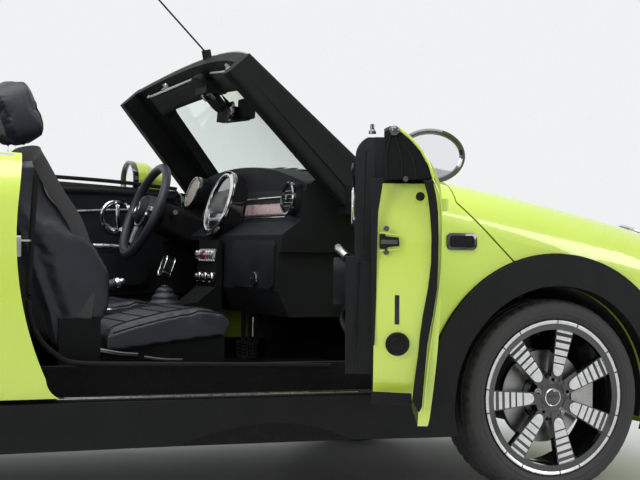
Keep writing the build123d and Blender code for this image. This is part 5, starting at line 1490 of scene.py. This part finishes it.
# Steering wheel trim
tilt = math.radians(22)
HUB = Vector((0.243, 0.357, 0.905))
spin_axis = Vector((-math.cos(tilt), 0, math.sin(tilt)))
m = frame_at(HUB, spin_axis)
piece(
    "wheel_boss", "steering_wheel", SOFT_PLASTIC, "cabin_plastic", add_lathe, [(0.0, 0.030),
    (0.030, 0.029), (0.046, 0.024), (0.0540, 0.014), (0.0550, 0.004)], m, steps=56
)
bm = bmesh.new()
add_lathe(bm, [(0.0190, 0.0292), (0.0200, 0.0312), (0.0218, 0.0308), (0.0222, 0.0285)], m,
          steps=40)
add_lathe(bm, [(0.0560, 0.004), (0.0565, 0.0110), (0.0610, 0.0110), (0.0625, 0.004)], m, steps=44,
          start=math.radians(190), turn=math.radians(160), closed=True)
place("wheel_boss_rings", bm, "steering_wheel", CHROME)
bm = bmesh.new()
for angle in (0, 180, 270):
    turned = m @ Matrix.Rotation(math.radians(angle), 4, "Z")
    add_prism(bm, [(0.066, -0.012), (0.128, -0.008), (0.128, 0.008), (0.066, 0.012)], 0.002,
              0.0125, turned, bevel=0.002)
place("wheel_spoke_inserts", bm, "steering_wheel", SATIN)
bm = bmesh.new()
for angle in (0, 180):
    turned = m @ Matrix.Rotation(math.radians(angle), 4, "Z")
    for y in (-0.004, 0.004):
        add_prism(bm, rounded(0.014, 0.0055, 0.002), 0.012, 0.0145,
                  turned @ Matrix.Translation((0.088, y, 0)), bevel=0.0006)
        add_prism(bm, rounded(0.014, 0.0055, 0.002), 0.012, 0.0145,
                  turned @ Matrix.Translation((0.108, y, 0)), bevel=0.0006)
place("wheel_keys", bm, "steering_wheel", GLOSS)
bm = bmesh.new()
for k in range(0, 160, 2):
    angle = 2 * math.pi * k / 160
    ends = [m @ Vector((0.1535 * math.cos(a), 0.1535 * math.sin(a), 0.0035))
            for a in (angle, angle + 0.02)]
    add_tube(bm, ends, 0.0009, sides=6)
place("wheel_stitching", bm, "steering_wheel", THREAD)
# stalks
bm = bmesh.new()
for side in (-1, 1):
    root = HUB - spin_axis * 0.085 + Vector((0, side * 0.045, 0.010))
    path = [root] + [root + Vector((x, side * y, z)) for x, y, z in (
        (0.0, 0.045, 0.006), (-0.012, 0.10, 0.012), (-0.018, 0.135, 0.014))]
    add_tube(bm, path, [0.007, 0.006, 0.0065, 0.009], sides=12)
place("column_stalks", bm, "body", GLOSS)

# Gear lever, hand brake and the console's trim
bm = bmesh.new()
profile = []
for k in range(17):
    share = k / 16
    z = 0.556 + 0.088 * share
    r = 0.056 * (1 - share) ** 0.8 + 0.0115 + 0.0035 * math.sin(share * 4 * 2 * math.pi)
    profile.append((max(r, 0.0115), z))
add_lathe(bm, profile, Matrix.Translation((0.215, 0, 0)), steps=40)
place("gear_gaiter", bm, "body", LEATHER, angle=60)
piece(
    "gear_gaiter_ring", "body", CHROME, "chrome", add_lathe, [(0.064, 0.552), (0.0645, 0.558),
    (0.0605, 0.5605), (0.0575, 0.5575)], Matrix.Translation((0.215, 0, 0)), steps=48
)
m = Matrix.Translation((0.220, 0, 0.706)) @ Matrix.Rotation(math.radians(20), 4, "Y")
flat = m @ Matrix(((0, 0, 1, 0), (1, 0, 0, 0), (0, 1, 0, 0), (0, 0, 0, 1)))
piece(
    "gear_knob", "body", GLOSS, "gloss_black", add_prism, rounded(0.0475, 0.0695, 0.016), -0.0150,
    0.0150, flat, bevel=0.004, segments=3
)
bm = bmesh.new()
for h in (-0.0146, 0.0146):
    add_tube(bm, [flat @ Vector((x, y, h)) for x, y in rounded(0.0480, 0.0700, 0.016)], 0.0022,
             sides=8, closed=True)
place("gear_knob_rim", bm, "body", CHROME)
lever = Vector((0.93, 0, 0.33)).normalized()
middle = Vector((-0.080, -0.050, 0.612))
m = frame_at(middle, lever, (0, 1, 0))
piece(
    "hand_brake_grip", "body", LEATHER, "seat_leather", add_lathe, [(0.0164, -0.02),
    (0.0178, -0.015), (0.0185, 0.03), (0.0180, 0.09), (0.0170, 0.112), (0.0166, 0.116)], m,
    steps=32
)
piece(
    "hand_brake_button", "body", CHROME, "chrome", add_lathe, [(0.0, 0.146), (0.0075, 0.1455),
    (0.0090, 0.143), (0.0090, 0.132), (0.0155, 0.1305), (0.0168, 0.127), (0.0168, 0.116),
    (0.0160, 0.115)], m, steps=32
)
bm = bmesh.new()
for x, y in ((0.02, 0.045), (0.115, 0.0)):
    add_lathe(bm, [(0.0375, 0.5545), (0.0385, 0.5600), (0.0350, 0.5615), (0.0330, 0.5585),
                   (0.0330, 0.5500)], Matrix.Translation((x, y, 0)), steps=40)
place("cup_holder_rings", bm, "body", SATIN)
# pedal pads
bm = bmesh.new()
pedal_low, pedal_high = (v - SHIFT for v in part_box("pedals"))
for k in range(3):
    y = pedal_low.y + (pedal_high.y - pedal_low.y) * (k + 0.5) / 3
    for row in range(4):
        z = pedal_low.z + 0.018 + 0.012 * row
        hit, _ = drop((pedal_low.x - 0.2, y, z), (1, 0, 0), "pedals")
        if hit is not None:
            ends = [hit + Vector((-0.001, across, 0)) for across in (-0.018, 0.018)]
            add_tube(bm, ends, 0.0025, sides=6)
if bm.verts:
    place("pedal_ribs", bm, "body", SEAL)
else:
    bm.free()

# Door openings: seals, sill lines, strikers and belts
SILL = (Vector((0, -0.704, 0)), Vector((0, -1, 0)))
OPENING_PIXELS = [
    (36, 175), (33, 215), (30.5, 260), (28.5, 300), (33, 325), (42, 342), (55, 354), (72, 362.5),
    (110, 364.3), (180, 364.6), (250, 364.9), (330, 365.6),
]
seal_line = plane_curve(OPENING_PIXELS, SILL, 0.0, 6)
for tag, side in SIDES:
    piece(
        f"opening_seal_{tag}", "body", SEAL, "cabin_plastic", add_tube,
        [Vector((p.x, -side * p.y, p.z)) for p in seal_line], 0.0085, sides=10
    )
for tag, side in SIDES:
    bm = bmesh.new()
    for x0, x1, y in ((-0.33, 0.60, 0.765), (-0.30, 0.45, 0.735)):
        low, _ = drop((0.1, side * y, 0.9), (0, 0, -1), "floor_pan", "cladding_" + tag)
        if low is None:
            continue
        add_prism(bm, [(x0, -0.0045), (x1, -0.0045), (x1, 0.0045), (x0, 0.0045)], -0.001, 0.0016,
                  Matrix.Translation((0, side * y, low.z)), bevel=0.0005)
    if bm.verts:
        place(f"sill_lines_{tag}", bm, "body", SATIN)
    else:
        bm.free()
    # striker loop on its plate
    m = frame_at((-0.4405, side * 0.745, 0.770), (1, 0, 0))
    bm = bmesh.new()
    add_prism(bm, rounded(0.034, 0.062, 0.006), -0.010, 0.006, m, bevel=0.0015)
    loop = [m @ Vector((x, 0.016, h)) for x, h in (
        (-0.012, 0.004), (-0.012, 0.030), (-0.004, 0.035), (0.006, 0.035), (0.012, 0.030),
        (0.012, 0.004))]
    add_tube(bm, loop, 0.0035, sides=10)
    place(f"striker_{tag}", bm, "body", IRON)
    # seat belt from the quarter trim down to the seat
    path = curve_through([(x, side * y, z) for x, y, z in (
        (-0.462, 0.688, 1.012), (-0.430, 0.664, 1.030), (-0.372, 0.636, 1.040),
        (-0.354, 0.612, 1.020), (-0.300, 0.602, 0.930), (-0.236, 0.599, 0.830),
        (-0.200, 0.598, 0.700), (-0.215, 0.606, 0.560))], 6)
    piece(
        f"seat_belt_{tag}", "body", CANVAS, "canvas", add_tube, path, 0.0225, sides=8, flat=0.06,
        up=(0.5, 0, 1)
    )


# Soft goods: each closed pad is remeshed, puffed as cloth and then given its seams
CLOTH_FRAMES = 20
SEARCH_BACK, SEARCH_REACH = 0.35, 0.8


def mesh_tree(mesh):
    """Search tree over a mesh."""
    return BVHTree.FromPolygons(
        [v.co.copy() for v in mesh.vertices], [list(p.vertices) for p in mesh.polygons]
    )


def puffed(name, node, body, material, voxel, shrink, cap, pressure, rounds):
    """Pad in a plain CAD solid's place, swollen no further than cap; returns its search tree."""
    mesh = nodes[node].data.copy()
    mesh.name = name
    obj = bpy.data.objects.new(name, mesh)
    bpy.context.scene.collection.objects.link(obj)
    mesh.materials.clear()
    remesh = obj.modifiers.new("voxels", "REMESH")
    remesh.mode = "VOXEL"
    remesh.voxel_size = voxel
    ease = obj.modifiers.new("ease", "SMOOTH")
    ease.factor, ease.iterations = 0.5, rounds
    graph = bpy.context.evaluated_depsgraph_get()
    made = bpy.data.meshes.new_from_object(obj.evaluated_get(graph))
    obj.modifiers.clear()
    obj.data = made
    normals = [v.normal.copy() for v in made.vertices]
    for vert, normal in zip(made.vertices, normals):
        vert.co -= normal * shrink
    start = [v.co.copy() for v in made.vertices]
    cloth = obj.modifiers.new("cloth", "CLOTH")
    cloth.settings.use_pressure = True
    cloth.settings.uniform_pressure_force = pressure
    cloth.settings.effector_weights.gravity = 0
    cloth.settings.quality = 5
    cloth.point_cache.frame_start = 1
    cloth.point_cache.frame_end = CLOTH_FRAMES
    scene = bpy.context.scene
    for step in range(1, CLOTH_FRAMES + 1):
        scene.frame_set(step)
    graph = bpy.context.evaluated_depsgraph_get()
    made = bpy.data.meshes.new_from_object(obj.evaluated_get(graph))
    obj.modifiers.clear()
    scene.frame_set(1)
    obj.data = made
    for vert, first, normal in zip(made.vertices, start, normals):
        move = vert.co - first
        if move.length > cap:
            move *= cap / move.length
        vert.co = first + move
    made.materials.append(material)
    for face in made.polygons:
        face.use_smooth = True
    fine = obj.modifiers.new("fine", "SUBSURF")
    fine.levels = fine.render_levels = 1
    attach(obj, body)
    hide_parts(node)
    return mesh_tree(made)


def seam_line(bm, tree, points, way, radius, lift=0.0006, steps=6, sides=8, closed=False):
    """Tube that lies on a soft surface: points are projected on it along a direction."""
    path = []
    way = Vector(way).normalized()
    for point in curve_through(points, steps, closed):
        hit = tree.ray_cast(point + SHIFT - way * SEARCH_BACK, way, SEARCH_REACH)[0]
        if hit is not None:
            path.append(hit - SHIFT - way * lift)
    if len(path) > 2:
        add_tube(bm, path, radius, sides=sides, closed=closed)


def stitches(bm, tree, points, way, size=0.0011, steps=60):
    """Row of short stitches on a soft surface."""
    line = curve_through(points, max(2, steps // max(1, len(points) - 1)))
    way = Vector(way).normalized()
    hits = []
    for point in line:
        hit = tree.ray_cast(point + SHIFT - way * SEARCH_BACK, way, SEARCH_REACH)[0]
        hits.append(None if hit is None else hit - SHIFT - way * 0.0006)
    for a, b in zip(hits[::2], hits[1::2]):
        if a is not None and b is not None and (b - a).length < 0.03:
            add_tube(bm, [a, a.lerp(b, 0.8)], size, sides=6)


back_tree = puffed(
    "backrest_covers", "seat_backrests", "body", LEATHER,
    voxel=0.009, shrink=0.006, cap=0.012, pressure=4, rounds=5)
cushion_tree = puffed(
    "cushion_covers", "seat_cushions", "body", LEATHER,
    voxel=0.008, shrink=0.005, cap=0.012, pressure=4, rounds=5)
rest_tree = puffed(
    "head_restraint_covers", "head_restraints", "body", LEATHER,
    voxel=0.006, shrink=0.005, cap=0.014, pressure=4, rounds=6)
bench_tree = puffed(
    "rear_bench_cover", "rear_bench", "body", LEATHER,
    voxel=0.010, shrink=0.006, cap=0.014, pressure=4, rounds=5)
hood_tree = puffed(
    "folded_hood", "soft_top", "body", CANVAS,
    voxel=0.011, shrink=0.008, cap=0.016, pressure=3, rounds=9)

SEAT_Y = 0.36
bm = bmesh.new()
threads = bmesh.new()
for side in (-1, 1):
    seat = side * SEAT_Y
    # backrest: piping where the side bolsters meet the front, and cross seams
    for edge in (-1, 1):
        y = seat + edge * 0.168
        seam_line(bm, back_tree, [(-0.10, y, 0.52), (-0.12, y, 0.60), (-0.14, y, 0.72),
                                  (-0.24, y, 0.86), (-0.30, y, 0.97)], (-1, 0, 0.35), 0.0032)
        outer = seat + edge * 0.222
        seam_line(bm, back_tree, [(-0.10, outer, 0.52), (-0.11, outer, 0.61), (-0.12, outer, 0.70),
                                  (-0.20, outer, 0.80), (-0.30, outer, 0.92), (-0.38, outer, 1.00)],
                  (-1, 0, 0.35), 0.0030)
        thread_y = y - edge * 0.008
        stitches(threads, back_tree, [(-0.10, thread_y, 0.53), (-0.12, thread_y, 0.62),
                                      (-0.20, thread_y, 0.82), (-0.30, thread_y, 0.96)],
                 (-1, 0, 0.35))
    for z in (0.60, 0.68, 0.76, 0.84, 0.92):
        seam_line(bm, back_tree, [(-0.10, seat - 0.162, z), (-0.10, seat, z + 0.004),
                                  (-0.10, seat + 0.162, z)], (-1, 0, 0.1), 0.0020)
    # cushion: centre panel, its channels and the piping round the front
    for edge in (-1, 1):
        y = seat + edge * 0.160
        seam_line(bm, cushion_tree, [(x, y, 0.70) for x in (-0.12, 0.05, 0.16, 0.245)],
                  (0, 0, -1), 0.0032)
        outer = seat + edge * 0.226
        seam_line(bm, cushion_tree, [(x, outer, 0.70) for x in (-0.12, 0.05, 0.15, 0.235)],
                  (0, 0, -1), 0.0030)
        thread_y = y - edge * 0.008
        stitches(threads, cushion_tree, [(x, thread_y, 0.70) for x in (-0.12, 0.05, 0.24)],
                 (0, 0, -1))
    for x in (-0.06, 0.0, 0.06, 0.12, 0.18):
        seam_line(bm, cushion_tree, [(x, seat - 0.155, 0.70), (x, seat, 0.70),
                                     (x, seat + 0.155, 0.70)], (0, 0, -1), 0.0020)
    # head restraint: seam round its sides
    loop = []
    for k in range(28):
        angle = 2 * math.pi * k / 28
        loop.append(
            (-0.385, seat + 0.100 * math.cos(angle), 1.165 + 0.078 * math.sin(angle))
        )
    seam_line(bm, rest_tree, loop, (-1, 0, 0.1), 0.0026, steps=2, closed=True)
place("seat_piping", bm, "body", SEAL)
place("seat_stitching", threads, "body", THREAD)

# seat bases: recliner covers, levers and slide rails
for tag, side in SIDES:
    seat = side * SEAT_Y
    outer = seat + side * 0.226
    m = frame_at((-0.205, outer, 0.470), (0, side, 0))
    piece(
        f"recliner_cover_{tag}", "body", PLASTIC, "cabin_plastic", add_lathe, [(0.0, 0.016),
        (0.036, 0.0155), (0.052, 0.011), (0.058, 0.003), (0.058, -0.012)], m, steps=48
    )
    path = [(x, outer + side * out, z) for x, out, z in (
        (-0.205, 0.016, 0.470), (-0.16, 0.022, 0.462), (-0.10, 0.024, 0.452),
        (-0.05, 0.022, 0.448))]
    piece(
        f"recliner_lever_{tag}", "body", GLOSS, "gloss_black", add_tube, curve_through(path, 6),
        0.0090, sides=12, flat=0.6
    )
    path = [(x, outer + side * out, z) for x, out, z in (
        (-0.03, 0.020, 0.440), (0.03, 0.022, 0.432), (0.09, 0.018, 0.430))]
    piece(
        f"height_lever_{tag}", "body", GLOSS, "gloss_black", add_tube, curve_through(path, 6),
        0.0070, sides=10, flat=0.6
    )
    bm = bmesh.new()
    for y in (seat - 0.170, seat + 0.170):
        box_piece(bm, (-0.215, y - 0.018, 0.2285), (0.262, y + 0.018, 0.262), bevel=0.003)
    place(f"seat_rails_{tag}", bm, "body", STEEL)
# rear bench channels
bm = bmesh.new()
low, high = (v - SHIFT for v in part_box("rear_bench"))
for y in (-0.42, -0.30, -0.18, 0.18, 0.30, 0.42, 0):
    line = [(x, y, high.z + 0.05) for x in (low.x + 0.06, (low.x + high.x) / 2, high.x - 0.02)]
    seam_line(bm, bench_tree, line, (0, 0, -1), 0.0026 if y else 0.0034, steps=14)
place("rear_bench_seams", bm, "body", SEAL)

# folded top: the ridges that its bows make in the cloth
bm = bmesh.new()
low, high = (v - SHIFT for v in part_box("soft_top"))
for share, radius in ((0.16, 0.0055), (0.38, 0.0075), (0.62, 0.0075), (0.84, 0.0055)):
    x = low.x + (high.x - low.x) * share
    seam_line(bm, hood_tree, [(x + 0.012 * math.sin(4 * y), y, high.z + 0.05) for y in (
        low.y + 0.05, -0.4, -0.2, 0.0, 0.2, 0.4, high.y - 0.05)], (0, 0, -1), radius, steps=8,
        lift=-radius * 0.35)
place("hood_folds", bm, "body", CANVAS, angle=60)


# Floor, backdrop and lights
def stage_plane(name, size, z, material):
    """Square stage surface at a height under the car."""
    bm = bmesh.new()
    bmesh.ops.create_grid(bm, x_segments=1, y_segments=1, size=size)
    mesh = bpy.data.meshes.new(name)
    bm.to_mesh(mesh)
    bm.free()
    obj = bpy.data.objects.new(name, mesh)
    bpy.context.scene.collection.objects.link(obj)
    obj.location = (SHIFT.x, SHIFT.y, z)
    obj.data.materials.append(material)
    return obj


FLOOR, floor_shader = principled("studio_floor")
floor_shader.inputs["Roughness"].default_value = 0.6
floor_tone = noise_of(FLOOR.node_tree, 0.7, detail=3)
floor_mix = mixed(
    FLOOR.node_tree, floor_tone.outputs["Fac"], (0.66, 0.66, 0.655), (0.69, 0.69, 0.685)
)
FLOOR.node_tree.links.new(floor_mix, floor_shader.inputs["Base Color"])
stage_plane("studio_floor", 60, SHIFT.z - 0.0005, FLOOR)

# the world lights the car by its first background and shows its second
world = bpy.data.worlds.new("studio")
bpy.context.scene.world = world
world.use_nodes = True
tree = world.node_tree
tree.nodes.clear()
output = tree.nodes.new("ShaderNodeOutputWorld")
rays = tree.nodes.new("ShaderNodeLightPath").outputs
straight = larger(tree, rays["Is Camera Ray"], rays["Is Transmission Ray"])
pair = tree.nodes.new("ShaderNodeMixShader")
tree.links.new(larger(tree, straight, rays["Is Glossy Ray"]), pair.inputs["Fac"])
for index, colour, strength in ((1, (0.93, 0.97, 1.0, 1), 0.55), (2, (0.94, 0.95, 0.96, 1), 0.93)):
    glow = tree.nodes.new("ShaderNodeBackground")
    glow.inputs["Color"].default_value = colour
    glow.inputs["Strength"].default_value = strength
    tree.links.new(glow.outputs["Background"], pair.inputs[index])
tree.links.new(pair.outputs["Shader"], output.inputs["Surface"])

for name, where, aim, width, height, power in (
    ("sky_panel", (-1.0, -1.5, 5.2), (0.2, 0.0, 0.4), 6.0, 4.5, 330),
    ("side_panel", (-6.5, -4.6, 3.4), (0.0, -0.6, 0.8), 3.2, 2.4, 210),
    ("front_panel", (5.2, -4.6, 3.0), (1.2, -0.6, 0.6), 2.6, 2.0, 90),
):
    light = bpy.data.lights.new(name, "AREA")
    light.shape = "RECTANGLE"
    light.size, light.size_y, light.energy = width, height, power
    light.color = (1.0, 0.985, 0.96)
    holder = bpy.data.objects.new(name, light)
    bpy.context.scene.collection.objects.link(holder)
    start = Vector(where) + SHIFT
    holder.location = start
    holder.rotation_euler = (
        (Vector(aim) + SHIFT - start).to_track_quat("-Z", "Y").to_euler()
    )


# Finish: the view transform
view = bpy.context.scene.view_settings
view.view_transform = "Standard"
